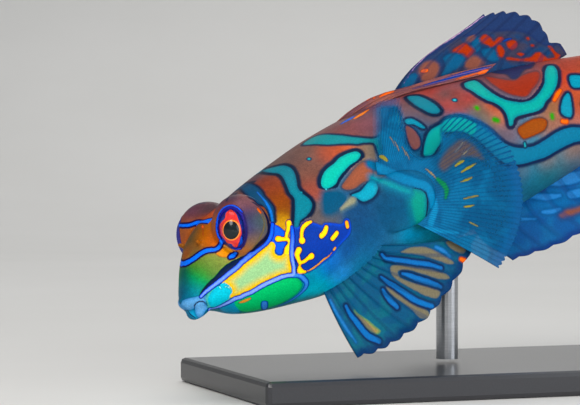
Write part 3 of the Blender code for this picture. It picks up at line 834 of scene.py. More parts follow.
PAD_LINE = Fade(PAD_BAND, PAD_EDGE)
PAD_GREEN = Finish((0, 146, 128), (0, 134, 134), (0, 112, 132), 0.34, 0.45, 0.40)
PAD_STREAK = Finish((0, 138, 150), (0, 126, 148), (0, 108, 140), 0.24, 0.45, 0.20)

# Marks of the lowest layer, outlined by points of the photograph's frame.
PATCHES = (
    (DARK_TEAL, (
        (240, 187), (245, 183.5), (251, 183.8), (257, 186.8), (261.5, 191), (265, 196.5), (270, 202.5),
        (273.4, 207), (274.3, 214), (274.6, 223), (271.7, 223.3), (270, 218), (267.5, 211), (264.2, 206.7),
        (259.2, 203.3), (254.2, 199.2), (248.3, 196), (244, 192))),
    (TEAL, (
        (262, 171), (268, 168.5), (275, 166.8), (283.3, 165.4), (290, 167.5), (294, 172), (296.5, 180),
        (297.8, 187.5), (302, 193), (309, 198.5), (312, 204.3), (310.5, 211), (305.7, 216.6), (300.4, 221),
        (298, 227), (294.5, 227), (294.6, 218.3), (295, 206.7), (294.2, 198.3), (290, 193), (286.7, 185),
        (283, 177.5), (278, 173.6), (271.5, 173))),
    (DORSAL_TEAL, (
        (303, 144.6), (310, 139), (318, 135.6), (327.5, 134.6), (342.5, 135.6), (362.5, 138), (376, 138),
        (386, 130), (388, 118), (394, 108), (399, 116), (400, 132), (398, 150), (392, 164), (384, 166),
        (378, 152), (374, 143.5), (364, 142.8), (357, 144), (349.4, 143.4), (338, 144), (327.5, 144.6),
        (315, 144.2))),
    (BRIGHT_TEAL, (
        (321.3, 180), (323.5, 173.5), (328, 168), (334, 163.3), (340, 157.5), (348.8, 153.2), (356.5, 151.5),
        (360.6, 155), (357.5, 160), (350, 165), (343.8, 171.5), (338.8, 177.5), (335.5, 184), (330, 187.5),
        (325, 188.6), (321.6, 185.5))),
    (CYAN, (
        (368.3, 182.3), (373.9, 181.1), (377.8, 186.7), (376.1, 193.3), (370.6, 198.9), (363, 201.5),
        (357.2, 198), (351.7, 195.2), (360.6, 191.2))),
    (SMUDGE, (
        (323, 192), (332, 190.5), (342, 194), (345, 200), (340, 208), (334, 214), (325, 214), (322.5, 204))),
    (TAN, ((351, 197), (356, 199), (354.5, 203.5), (347, 207.5), (341, 210.5), (340.5, 207.5), (345.5, 202))),
    (RUST, (
        (342, 186), (349.4, 175.6), (357.2, 166), (364, 162.2), (370.5, 164.4), (372.8, 173.3), (369, 179.5),
        (362, 183), (354, 188.5), (346, 189.5))),
    (BROWN, ((405.5, 127), (411, 127.6), (416.4, 133), (420, 140), (419.4, 147), (413.6, 149.4), (409, 142))),
    (TEAL, (
        (407.2, 97), (417.2, 95.8), (426.1, 99), (435, 104.4), (440, 110), (438, 113.2), (430.6, 113.2),
        (421.7, 109), (412.8, 103.3))),
    (SMALL_TEAL, (
        (405, 120), (411, 118.6), (419, 122.3), (425.5, 128), (421, 128), (414, 124.5), (407, 124))),
    (LATERAL_GREEN, (
        (424, 155.4), (425, 143.3), (427.6, 135), (432, 129), (440.6, 124.4), (446, 119.6), (454, 117.4),
        (462, 117.4), (470, 120.6), (477, 124), (480, 132), (474, 137), (464, 132), (453, 131.5), (444, 133),
        (441.6, 141), (437, 148.4), (432.6, 154.4))),
    (LATERAL, (
        (476, 123.6), (484.4, 127), (493.3, 133.6), (498.9, 139), (506.7, 144.6), (517.8, 148),
        (528.9, 147.4), (537.8, 144.4), (546.7, 139), (556.7, 132.4), (567.8, 128), (580, 127.6), (597, 129),
        (618, 127), (645, 117), (675, 105), (700, 97), (718, 92), (722, 99), (700, 106), (675, 116),
        (648, 129), (620, 140), (597, 142), (580, 141.1), (568.9, 144.4), (557.8, 150), (546.7, 156.5),
        (533.3, 161), (520, 164.2), (508.9, 164.2), (500, 160), (490, 151), (480, 142), (471, 134))),
    (SADDLE, (
        (464.4, 83.6), (470, 81), (476.7, 81), (484.4, 87), (493.3, 93.6), (502.2, 98.4), (511.1, 101.2),
        (520, 102.2), (528.9, 101), (535.6, 96.7), (541, 90.4), (544.6, 82.2), (544.8, 74.4), (546.8, 67),
        (552.2, 65.6), (556.4, 69), (557.8, 77.8), (556.1, 86.7), (551, 95.6), (546, 101.5), (543, 107),
        (537.8, 110.8), (528.9, 113.3), (518.5, 116), (514, 119.4), (512.6, 125), (509.4, 125.4),
        (508.3, 120), (506, 113.4), (501, 107), (494.4, 102.8), (486.7, 100), (478.9, 95.6), (472.2, 91),
        (466, 87.6))),
    (RED, (
        (486, 77), (495, 78), (507, 80), (515.6, 80), (522.2, 75.6), (528.9, 73), (536.7, 71.6), (539.6, 75),
        (537.6, 82.2), (532.2, 89), (526.7, 96), (518, 96), (509, 93.6), (500, 88.9), (491, 82.6))),
    (SLATE, (
        (492, 72), (502.2, 67.8), (511.1, 64.4), (522, 63), (534, 62.6), (531, 67.8), (524.4, 70),
        (518, 77.5), (512, 79), (506.5, 74.6), (498, 73.5))),
    (ORANGE, (
        (518, 129), (526.7, 122.3), (536.7, 118.4), (544.4, 119), (547, 123.3), (544.2, 130), (535.6, 134.4),
        (524.6, 138.6), (520.2, 135.4))),
    (SMALL_TEAL, (
        (566.7, 93.4), (569.3, 94), (571, 100), (572.2, 112.2), (570.6, 117), (565.8, 116.4), (561.4, 112.7),
        (561.2, 105.6), (563.2, 98.4))),
    (SMALL_TEAL, ((569.5, 77), (575, 75), (586, 77), (588, 84), (580, 87.5), (572, 86.5))),
    (SADDLE, (
        (598, 72), (606, 60), (614, 58), (617, 66), (612, 80), (615, 92), (630, 95), (646, 88), (650, 74),
        (656, 60), (663, 62), (664, 78), (658, 93), (644, 103), (626, 107), (608, 104), (598, 92))),
    (RED, ((618, 74), (628, 66), (642, 68), (643, 80), (632, 86), (620, 84))),
    (SMALL_TEAL, ((676, 68), (683, 66), (690, 74), (691, 86), (684, 90), (677, 82))),
    (ORANGE, ((585, 96), (593, 97), (597, 108), (592, 117), (584, 112), (581, 103))),
    (ORANGE, ((664, 92), (674, 88), (678, 95), (668, 102), (660, 101))),
    (ROYAL, (
        (292, 226), (295.8, 227.5), (300.4, 225.8), (303.3, 222.5), (308.3, 221), (316, 223.5),
        (321.7, 225.4), (325, 223), (333, 223.2), (341.7, 224), (344.5, 219.4), (348, 218.6), (350.4, 222),
        (351, 230), (348.5, 236), (343.3, 241.5), (338.3, 247), (335, 252.3), (330.8, 256.8), (325, 260.8),
        (319.2, 265.6), (313.3, 269.6), (306.7, 272), (300, 269), (295.4, 263.3), (293.5, 256.7), (293, 249),
        (293.6, 238))),
    (NODE_BLUE, (
        (270.2, 227), (271.5, 218), (275, 224.4), (278.8, 226.6), (283.5, 230.4), (285.6, 233), (284.6, 237),
        (286.5, 242), (285.4, 246), (283.4, 249), (282.6, 252.5), (281, 254.6), (277.6, 254), (275.4, 251),
        (275.6, 246.6), (272, 242), (266, 243.5), (268.5, 236))),
    (GREEN, (
        (236, 299.5), (245, 296.5), (252.5, 293.6), (260, 288.8), (267.5, 285), (275, 281.6), (282.5, 278.4),
        (290, 277.4), (296, 277.6), (300.5, 281), (302, 286), (297.6, 293), (290, 298.5), (282, 303),
        (272, 306.6), (262, 309), (250, 311.5), (240, 311), (232, 306))),
    (CHIN, ((219, 308.6), (226, 305.6), (234, 301.4), (239, 306), (240, 312), (236, 314.5), (226, 313))),
    (NAVY, (
        (199, 295.8), (203.3, 288.3), (210, 280.8), (215, 276.4), (220, 270.4), (225, 265.6), (232, 261.2),
        (240, 257.6), (247, 255), (244, 259.5), (240.2, 263.5), (231.7, 270), (223.3, 276), (216.7, 281.6),
        (210, 286.6), (203.3, 292))),
    (EYE_BLUE, (
        (219, 237.4), (217.2, 232), (216.8, 226), (217.4, 219), (219.6, 212.6), (224, 208), (229, 205.8),
        (234, 206), (238.6, 208.6), (242.4, 212.6), (245.4, 221), (246.4, 229), (246, 237), (243.8, 244),
        (240.4, 248.4), (235, 249), (229, 246), (224, 241.8))),
    (EYE_PATCH, (
        (218.6, 250.6), (223, 247.6), (228, 248.6), (233, 251.4), (230, 254.8), (226, 257), (220.6, 256.4),
        (216, 253.4))),
    (LIP, (
        (181, 304.2), (182.6, 300.8), (187.5, 298.6), (195, 297), (200.8, 296), (205, 295), (206.6, 298.5),
        (205.5, 303), (207.6, 307.5), (205.4, 311), (203, 316), (199.6, 318.4), (195.8, 314), (194.4, 309.6),
        (190, 310), (184.5, 309.4), (181.2, 307.6))),
    (CHIN, (
        (187.3, 310.6), (192, 310.4), (194.8, 311.5), (197, 315.6), (200.5, 319), (195, 319), (190, 315.6))),
    (PAD_GREEN, (
        (411, 190.6), (421, 191.2), (425.4, 196), (425.6, 210), (424, 222), (418, 227), (414, 218),
        (411, 204))),
)

# Lines: finish, half widths in mm from one end to the other, and the points that they run through.
LINES = (
    (THIN_ORANGE, (0.03, 0.07, 0.07, 0.02), (
        (306, 271.4), (310, 270), (315, 266.9), (319.2, 263.5), (324.2, 259), (328.5, 256.3),
        (332.5, 251.7))),
    (THIN_ORANGE, (0.10, 0.10), ((333.8, 249.8), (335.2, 248))),
    (THIN_RED, (0.03, 0.04, 0.03), ((201.8, 225), (202.8, 230), (203.2, 236))),
    (VIVID_ORANGE, (0.08, 0.08), ((202.4, 226), (203, 227.6))),
    (GROOVE, (0.09, 0.14, 0.17, 0.20, 0.22, 0.13, 0.09), (
        (253.6, 202.4), (262, 207.8), (267.2, 215.6), (269.6, 224.3), (269.6, 232.9), (265.8, 239.6),
        (260, 244.2), (254.4, 249.8), (250, 253.8), (243.4, 258.6))),
    (OLIVE_LINE, (0.05, 0.06, 0.05), (
        (257, 209.3), (262, 216.4), (264.1, 222.1), (263.4, 230), (260.6, 235.7), (257, 242.9),
        (252.7, 250))),
    (VIVID_ORANGE, (0.12, 0.12), ((258.4, 209.6), (260, 212))),
    (GROOVE, (0.05, 0.09, 0.05), ((213, 199.6), (219, 195.6), (227, 193.8), (236, 194))),
    (INK, (0.03, 0.06, 0.06), ((179, 221), (183, 214.6), (189, 208.6), (196, 204.4), (205, 202.8))),
    (EYE_SHADE, (0.06, 0.08, 0.07), (
        (243.4, 214.6), (245.4, 221), (246.4, 229), (246, 237), (243.8, 244), (240.4, 248.4))),
    (BAR_BLUE, (0.05, 0.10, 0.12, 0.10), (
        (257, 192), (263.4, 199), (268.4, 206.4), (271.4, 214), (272.4, 221))),
    (INK, (0.02, 0.04, 0.035, 0.02), (
        (193.8, 310), (194.4, 306.6), (196.6, 303.8), (200, 302), (203.6, 302.2), (206, 304.4))),
    (INK, (0.02, 0.03, 0.02), ((187.6, 310.2), (190.8, 314.6), (195.4, 318))),
    (PAD_LINE, (0.30, 0.42, 0.40, 0.36, 0.34, 0.30), (
        (370, 164), (380, 168.4), (392, 174), (404, 179), (416, 183), (427, 187), (432, 197), (432.4, 210),
        (428, 224))),
    (INK, (0.04, 0.06, 0.05), (
        (414, 187.8), (421, 189.6), (426.4, 194.4), (427.6, 205), (426, 216), (421, 225))),
    (PAD_STREAK, (0.14, 0.26, 0.22), ((371.7, 177.6), (384, 182), (396, 187), (409, 192))),
    (TEAL_DOT, (0.13, 0.13), ((308.6, 158.8), (309.4, 159.2))),
    (TEAL_DOT, (0.15, 0.15), ((454.2, 100), (455.2, 100))),
    (GREEN_DOT, (0.18, 0.18), ((476.6, 107.4), (477.4, 108.6))),
    (GREEN_DOT, (0.20, 0.20), ((494.6, 119.4), (497.4, 120.4))),
    (GREEN_DOT, (0.16, 0.16), ((552, 115), (552.4, 118))),
    (VIVID_ORANGE, (0.12, 0.18, 0.14), ((560.5, 90), (557.6, 94), (554.4, 100))),
    (VIVID_ORANGE, (0.16, 0.18), ((562.4, 121.3), (566.4, 121.8))),
    (VIVID_ORANGE, (0.20, 0.20), ((384, 158), (384.8, 159))),
    (TEAL_DOT, (0.10, 0.08), ((524.8, 143.5), (525.3, 146.5))),
    (YELLOW, (0.21, 0.19, 0.15, 0.12), ((288.8, 222.6), (288.8, 226.8), (287.6, 231), (286.2, 237.6))),
    (YELLOW, (0.23, 0.15, 0.14), ((278.2, 238.8), (282.5, 239.2), (287, 239.4))),
    (YELLOW, (0.12, 0.17, 0.17, 0.20, 0.24, 0.24), (
        (286.4, 238), (290, 241.8), (289.6, 245), (287.3, 248.5), (286.9, 253.5), (286.9, 258))),
)

# Marks beside the lines, outlined in the same way.
AREAS = (
    (PANEL, (
        (222, 282), (230, 276), (237.5, 270.2), (245, 262.8), (252.5, 257.8), (259.2, 252), (264.2, 247.7),
        (267.5, 243.6), (270.8, 242), (274, 243), (275.4, 246.7), (274.4, 250.8), (276, 254.6), (281, 256),
        (284, 253.5), (286, 251), (288.4, 250.5), (290.2, 256.7), (291, 263.3), (291.6, 271.7),
        (290.5, 273.8), (283.3, 275), (276.7, 277.5), (270, 280.4), (262.5, 283.8), (255, 287.8),
        (247.5, 292), (240.8, 295), (235, 296.8), (229, 297.6), (230.8, 293.3), (231.5, 290),
        (228.3, 285.4))),
    # The cheek's painted sheen, a cyan reflection between the lip and the panel.
    (TURQUOISE_SHEEN, (
        (208, 298), (211.4, 291.6), (217.4, 285.6), (223.6, 281.8), (229.6, 285), (232.8, 290),
        (231.4, 295.4), (226.4, 300.6), (219.6, 305), (213.4, 307.4), (210, 306), (208, 302))),
    (SOFT_BLUE, ((261.4, 303.5), (263, 301.2), (267, 301.8), (267.6, 306), (265.8, 309.4), (262.2, 309))),
    (THIN_ORANGE, ((238.6, 303), (242.5, 300.3), (250, 297.6), (250.6, 299.3), (244.2, 302.6))),
)

# Topmost marks of one side, -1 for the near one: the far brow's stripe and the folded fin's foot.
ONE_SIDED = (
    (1, AZURE, (0.11, 0.13, 0.14, 0.14), (
        (179.2, 225.4), (185, 225.5), (190, 225), (194.3, 223.4), (198.4, 222.1), (202.7, 221.6),
        (207, 221.6), (210.4, 222.2))),
    (-1, SPINE_BLUE, (0.08, 0.22, 0.18), ((341, 124), (347, 120.4), (353, 117))),
    (-1, SPINE_ORANGE, (0.12, 0.24, 0.12), ((354.6, 118.4), (361, 114.4), (368, 110))),
)

# The topmost marks, in the same form as the lines.
SPOTS = (
    (AZURE, (0.15, 0.18, 0.17, 0.14, 0.15), (
        (179.7, 262), (183, 263.6), (186.5, 263.2), (190.6, 260.6), (195.6, 257.3), (200.6, 253.6),
        (205.6, 250.9), (210.6, 250), (215, 249.6), (218.4, 247.6), (220.7, 244.3), (221, 241))),
    (CHEEK_LINE, (0.12, 0.17, 0.18, 0.18, 0.12), (
        (201, 296.6), (205, 292.4), (210, 288.3), (216.7, 283.3), (223.3, 278.3), (230, 272.6),
        (236.7, 267.6), (242.5, 261.8), (248.3, 257.5), (253.3, 254.2), (258.3, 250.6), (263.3, 246.4),
        (268, 241.2), (271.6, 234), (272.4, 224))),
    (PERIWINKLE, (0.16, 0.20, 0.19, 0.17), (
        (209.5, 309.4), (214.5, 308.2), (220, 306.4), (225, 304.2), (230, 301.7), (235, 298.8), (240, 297.5),
        (245, 294.8), (252.5, 291.8), (260, 287.1), (267.5, 283.2), (275, 279.9), (282.5, 276.8),
        (289, 275.4), (294, 275.2))),
    (GILL_LINE, (0.12, 0.17, 0.16, 0.16), (
        (292, 227), (292.6, 234), (292.6, 240), (292, 248), (291.9, 255), (292.8, 261), (293.8, 267),
        (294.1, 275))),
    (SOFT_BLUE, (0.17, 0.18, 0.15, 0.10), (
        (294.2, 275.6), (299, 275.6), (303.6, 278.4), (306.6, 283), (305.4, 287.8), (302.1, 291.8),
        (297.5, 295.9), (291.7, 300), (286, 303), (279, 306))),
    (EYE_RING, (0.07, 0.08, 0.09, 0.10, 0.07), (
        (219, 237.4), (217.2, 232), (216.8, 226), (217.4, 219), (219.6, 212.6), (224, 208), (229, 205.8),
        (234, 206), (238.6, 208.6), (242.4, 212.6))),
    (EYE_RING, (0.05, 0.07, 0.07), ((240.4, 248.4), (235, 249), (229, 246), (224, 241.8), (219, 237.4))),
    (YELLOW, (0.25, 0.25), ((302.1, 240), (302.3, 240.8))),
    (YELLOW, (0.14, 0.14, 0.17, 0.17, 0.10), (
        (301.8, 237.5), (301.7, 233), (303.2, 227.5), (306.8, 223.7), (311.2, 221.6))),
    (YELLOW, (0.21, 0.22, 0.19), ((321.6, 235.9), (324.6, 232.4), (326.5, 227.6))),
    (YELLOW, (0.19, 0.20, 0.18), ((332.4, 238.6), (334.8, 236), (337, 233))),
    (AMBER, (0.18, 0.19), ((346.7, 222.6), (347.4, 226.2))),
    (YELLOW, (0.24, 0.19, 0.17, 0.14), ((298.9, 250.2), (297.1, 254.6), (298.6, 259.6), (300.2, 263.4))),
    (YELLOW, (0.13, 0.15, 0.15, 0.25), ((300.2, 262.6), (304.2, 261.3), (308, 258.3), (311.5, 256.2))),
    (YELLOW, (0.10, 0.24, 0.12), ((299.4, 266.4), (300.2, 270.8), (305, 271.8))),
    (AZURE, (0.12, 0.19, 0.10), ((235.6, 253), (233, 255.4), (229.9, 257.2))),
    (AZURE, (0.04, 0.11, 0.04), ((241.4, 232), (241.8, 237), (239.6, 242))),
    # Painted glints on the cheek and the body: white highlights where the wet skin reflects the light.
    (PAINTED_GLINT, (0.035, 0.045, 0.02), ((224.6, 286.6), (228.4, 287.3), (231.8, 291.2))),
    (PAINTED_GLINT, (0.04, 0.03), ((219.3, 286.8), (221.4, 288.8))),
    (PAINTED_GLINT, (0.05, 0.05), ((325.8, 189.2), (326.4, 189.4))),
    (PAINTED_GLINT, (0.04, 0.04), ((301, 192.4), (301.6, 192.6))),
    (PAINTED_GLINT, (0.04, 0.04), ((454.4, 99.8), (454.8, 100))),
)

# Ground colours of the side that the photograph shows: a point of its frame, the reach in mm and the colour.
SEEN_GROUND = (
    # far brow and dome
    ((184, 213), 0.6, (128, 56, 38)),
    ((194, 207), 0.6, (96, 50, 44)),
    ((208, 216), 0.5, (184, 78, 36)),
    ((204, 209), 0.4, (70, 48, 56)),
    ((181, 219), 0.5, (130, 60, 30)),
    ((214, 214), 0.5, (96, 52, 66)),
    # snout between the stripes
    ((184, 231), 0.6, (200, 112, 22)),
    ((188, 242), 0.6, (72, 70, 40)),
    ((193, 233), 0.6, (94, 66, 34)),
    ((207, 230), 0.6, (172, 92, 14)),
    ((212, 240), 0.6, (208, 98, 28)),
    ((186, 253), 0.5, (156, 82, 38)),
    ((202, 240), 0.5, (164, 92, 20)),
    ((197, 250), 0.4, (90, 74, 44)),
    # snout below the stripes
    ((197, 264), 0.5, (96, 124, 44)),
    ((207, 262), 0.5, (112, 134, 52)),
    ((221, 262), 0.5, (134, 146, 60)),
    ((211, 269), 0.5, (100, 138, 56)),
    ((192, 271), 0.5, (14, 126, 16)),
    ((202, 272), 0.4, (40, 138, 44)),
    ((201, 279), 0.5, (0, 160, 50)),
    ((193, 278), 0.5, (0, 146, 84)),
    ((184, 272), 0.4, (0, 84, 70)),
    ((185, 280), 0.5, (0, 100, 104)),
    ((185, 289), 0.5, (0, 80, 118)),
    ((194, 288), 0.5, (0, 132, 152)),
    # dome of the near eye
    ((222, 202), 0.6, (96, 66, 96)),
    ((231, 197), 0.5, (28, 34, 54)),
    ((242, 196), 0.3, (118, 50, 48)),
    ((248, 203), 0.6, (120, 76, 82)),
    ((213, 228), 0.5, (84, 50, 74)),
    ((250, 214), 0.5, (58, 50, 84)),
    ((250, 228), 0.6, (60, 50, 112)),
    ((257, 222), 0.5, (72, 94, 88)),
    ((257, 238), 0.5, (86, 82, 80)),
    ((254, 243), 0.5, (150, 108, 62)),
    ((243, 252), 0.5, (172, 98, 48)),
    ((237, 259), 0.4, (178, 122, 48)),
    # nape and shoulder
    ((251, 179), 0.6, (84, 54, 72)),
    ((263, 182), 0.7, (132, 54, 38)),
    ((272, 184), 0.8, (140, 56, 20)),
    ((279, 200), 0.8, (138, 62, 18)),
    ((281, 210), 0.7, (130, 68, 18)),
    ((281, 222), 0.5, (212, 158, 20)),
    ((290, 159), 0.8, (104, 76, 74)),
    ((303, 152), 0.8, (116, 84, 72)),
    ((303, 166), 0.8, (114, 70, 58)),
    ((309, 177), 0.8, (118, 72, 58)),
    ((311, 187), 0.6, (146, 66, 50)),
    ((330, 149), 0.8, (178, 78, 46)),
    ((346, 149), 0.7, (204, 88, 42)),
    ((366, 152), 0.8, (134, 112, 88)),
    ((371, 172), 0.6, (156, 120, 96)),
    ((316, 217), 0.6, (98, 82, 80)),
    ((332, 218), 0.6, (84, 84, 90)),
    ((350, 128), 1.0, (136, 68, 66)),
    ((333, 128), 0.8, (112, 66, 70)),
    ((366, 125), 0.8, (130, 76, 88)),
    ((376, 108), 0.8, (96, 66, 96)),
    ((402, 150), 1.0, (10, 72, 112)),
    # trunk above the lateral band
    ((415, 108), 0.7, (104, 72, 68)),
    ((432, 118), 0.6, (104, 70, 62)),
    ((437, 100), 0.5, (136, 54, 32)),
    ((445, 94), 0.4, (78, 60, 60)),
    ((429, 92), 0.5, (160, 48, 30)),
    ((456, 94), 0.5, (132, 48, 28)),
    ((470, 99), 0.5, (162, 50, 30)),
    ((447, 106), 0.5, (166, 54, 14)),
    ((460, 106), 0.5, (152, 60, 26)),
    ((492, 106), 0.5, (196, 74, 10)),
    ((481, 111), 0.6, (112, 92, 62)),
    ((500, 118), 0.5, (196, 100, 40)),
    ((489, 124), 0.6, (112, 94, 70)),
    ((508, 136), 0.8, (116, 76, 76)),
    ((488, 71), 0.6, (84, 60, 78)),
    ((545, 60), 0.7, (150, 54, 44)),
    ((562, 78), 0.7, (174, 54, 38)),
    ((553, 108), 0.7, (144, 98, 56)),
    ((552, 126), 0.7, (150, 90, 58)),
    ((576, 104), 0.7, (176, 68, 26)),
    ((570, 64), 0.8, (142, 54, 46)),
    # trunk below it
    ((522, 170), 0.6, (96, 100, 104)),
    ((548, 160), 0.6, (146, 112, 96)),
    ((574, 150), 0.6, (150, 112, 92)),
    ((548, 173), 0.6, (0, 92, 108)),
    ((574, 165), 0.7, (0, 84, 116)),
    ((530, 184), 0.8, (6, 98, 120)),
    ((442, 158), 1.1, (40, 66, 88)),
    ((480, 180), 1.5, (18, 82, 124)),
    ((505, 196), 1.5, (24, 88, 140)),
    # chest and belly
    ((385, 215), 1.6, (4, 58, 96)),
    ((360, 222), 1.2, (14, 56, 106)),
    ((348, 248), 0.8, (18, 66, 140)),
    ((330, 264), 0.8, (32, 104, 196)),
    # painted light on this one: lighter than the chest's own azure, against the shade under the body
    ((341, 279), 0.8, (60, 158, 255)),
    ((312, 278), 0.7, (0, 150, 182)),
    # painted light on the next two: lighter than the chest's own teal, against the shade under the body
    ((311, 292), 0.8, (0, 226, 250)),
    ((328, 290), 0.8, (0, 234, 255)),
    ((372, 250), 1.5, (8, 88, 146)),
    ((402, 202), 1.2, (0, 74, 112)),
    # painted light on the next two: lighter than the belly's own blue, against the pectoral fin's shadow
    ((412, 234), 1.0, (0, 170, 220)),
    ((436, 232), 1.0, (0, 220, 255)),
    ((360, 272), 1.0, (0, 134, 178)),
)

# Ground colours elsewhere: distance from the snout, angle from the back down the side, reach and colour.
HIDDEN_GROUND = (
    (12.0, 5, 1.6, (100, 78, 74)),
    (16.0, 5, 2.0, (116, 76, 70)),
    (20.0, 3, 2.0, (112, 66, 68)),
    (26.0, 4, 2.0, (150, 68, 58)),
    (32.0, 4, 2.0, (110, 60, 66)),
    (38.5, 90, 1.8, (196, 84, 40)),
    (42.0, 60, 2.5, (176, 76, 40)),
    (42.0, 15, 2.5, (150, 62, 48)),
    (47.0, 80, 3.0, (156, 76, 42)),
    (47.0, 30, 3.0, (128, 66, 56)),
    (46.0, 130, 3.0, (110, 100, 104)),
    (38.0, 132, 1.8, (138, 112, 100)),
    (34.0, 150, 2.0, (10, 106, 124)),
    (41.0, 160, 2.5, (24, 92, 124)),
    (26.0, 130, 3.0, (10, 88, 140)),
    (24.0, 95, 2.5, (10, 80, 120)),
    (2.0, 170, 1.2, (10, 110, 150)),
    (5.0, 176, 2.0, (10, 140, 130)),
    (10.0, 178, 2.6, (30, 140, 160)),
    (16.0, 178, 3.5, (70, 140, 170)),
    (27.0, 175, 5.0, (60, 126, 156)),
)


# The little weight that a ground colour keeps far from its place.
FAR_WEIGHT = 1e-4


def ground_colours(canvas):
    """The soft ground colours, blended over the whole surface."""
    anchors = [(section(np.array(x), -math.radians(angle)), *look) for x, angle, *look in HIDDEN_GROUND]
    anchors += [(canvas.place(*pixel), *look) for pixel, *look in SEEN_GROUND]
    total = np.zeros(len(canvas.points))
    colour = np.zeros((len(canvas.points), 3))
    for place, reach, value in anchors:
        if place is None:
            continue
        away = np.linalg.norm(canvas.points - place, axis=1) / reach
        weight = np.exp(-(away**2) / 2) + FAR_WEIGHT / (1 + away**4)
        total += weight
        colour += weight[:, None] * np.array(srgb(*value))
    return colour / total[:, None]


def skin_material():
    nodes = Nodes("skin")
    place = nodes.millimetres()
    mottle = nodes.noise(place, scale=0.9, detail=5.0, roughness=0.62)
    grain = nodes.noise(place, scale=9.0, detail=3.0, roughness=0.6)
    blotch = nodes.noise(place, scale=3.2, detail=3.0, roughness=0.55)
    ground = nodes.attribute("ground", "Vector")
    shade = nodes.math("ADD", nodes.math("MULTIPLY", mottle, 0.7), nodes.math("MULTIPLY", blotch, 0.5))
    ground = nodes.scale_colour(ground, nodes.math("ADD", shade, 0.42))
    colour = nodes.clear_colour(painted_colour(nodes, ground, place))
    speckle = nodes.ramp(grain, 0.35, 0.75)
    colour = nodes.grained(colour, speckle, depth=0.30, least=0.86)
    height = nodes.math("ADD", nodes.math("MULTIPLY", grain, 0.6), nodes.math("MULTIPLY", blotch, 0.4))
    return nodes.surface(
        base_color=colour,
        roughness=0.46,
        normal=nodes.bump(height, distance=0.00006, strength=0.35),
        specular_ior_level=0.07,
        coat_weight=0.01,
        coat_roughness=0.2,
    )


def paint_skin(canvas):
    """Lays the marks on the skin, from the lowest layer to the topmost."""
    for finish, outline in PATCHES:
        canvas.patch(0, finish, outline)
    for finish, widths, way in LINES:
        canvas.line(1, finish, widths, way)
    for finish, outline in AREAS:
        canvas.patch(1, finish, outline)
    for finish, widths, way in SPOTS:
        canvas.line(2, finish, widths, way)
    for side, finish, widths, way in ONE_SIDED:
        canvas.line(2, finish, widths, way, side)


def build_skin():
    mesh = fuse_skin()
    points, _ = read_mesh(mesh)
    points = open_sockets(points)
    mesh.vertices.foreach_set("co", points.astype(np.float32).ravel())
    mesh.update()
    points, normals = read_mesh(mesh)
    faces = [tuple(p.vertices) for p in mesh.polygons]
    canvas = Canvas(points, faces, normals, True)
    paint_skin(canvas)
    store(mesh, "ground", ground_colours(canvas))
    canvas.write(mesh)
    moved = points.copy()
    for depth, half, way in CREASES:
        away = canvas.distance_to(way)
        moved -= normals * (depth * np.exp(-((away / half) ** 2)))[:, None]
    mesh.vertices.foreach_set("co", pose(moved).astype(np.float32).ravel())
    mesh.update()
    skin = bpy.data.objects.new("skin", mesh)
    bpy.context.scene.collection.objects.link(skin)
    mesh.shade_smooth()
    mesh.materials.clear()
    mesh.materials.append(skin_material())
    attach(skin, "root")
    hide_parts("head", "trunk", "tail_stalk")
    return skin


# The eye, outlined by points of the photograph's frame.
IRIS_OUTLINE = (
    (226, 213), (229.9, 209.8), (233, 210.8), (236.3, 214.3), (237.9, 218.6), (240, 224.3), (241.3, 230),
    (241.5, 235.7), (240.4, 239.5), (238.3, 243.6), (237.5, 246.6), (235.3, 247.3), (233.2, 246.2),
    (231.6, 244), (227.4, 243), (225, 240), (222, 236.4), (219.6, 233.6), (218.8, 229.3), (219.6, 225),
    (222, 221.5), (225, 218),
)
PUPIL_CENTRE = (231.3, 230.2)
PUPIL_HALF = (7.9, 9.2)
PUPIL_OUTLINE = tuple(
    (PUPIL_CENTRE[0] + PUPIL_HALF[0] * math.cos(a), PUPIL_CENTRE[1] + PUPIL_HALF[1] * math.sin(a))
    for a in np.radians(range(0, 360, 20))
)
EYE_SPOT = (
    (241.5, 235.4), (242.8, 238.6), (243.6, 243), (241.8, 246.4), (239.6, 247.4), (238.2, 246),
    (239.6, 242.6), (240.4, 238.6),
)
IRIS_RED = Finish((214, 44, 44), (240, 62, 30), (60, 40, 130), 0.04, 0.05, 0.22)
PUPIL = Finish((6, 20, 24), (4, 12, 16), (255, 136, 40), 0.10, 0.04, 0.30)
SPOT_BLUE = Finish((16, 92, 220), (10, 60, 180), (8, 20, 90), 0.04, 0.04, 0.10)


def eye_material(name):
    nodes = Nodes(name)
    place = nodes.millimetres()
    cloud = nodes.ramp(nodes.noise(place, scale=2.4, detail=3.0), 0.42, 0.6)
    ground = nodes.mix(cloud, srgb(24, 52, 140), srgb(44, 36, 104))
    colour = painted_colour(nodes, ground, place, wobble=0.02)
    streaks = nodes.noise(place, scale=7.0, detail=4.0, roughness=0.7)
    return nodes.surface(
        base_color=nodes.grained(colour, streaks, depth=0.6, least=0.7),
        roughness=0.3,
        coat_weight=0.6,
        coat_roughness=0.03,
        specular_ior_level=0.15,
    )


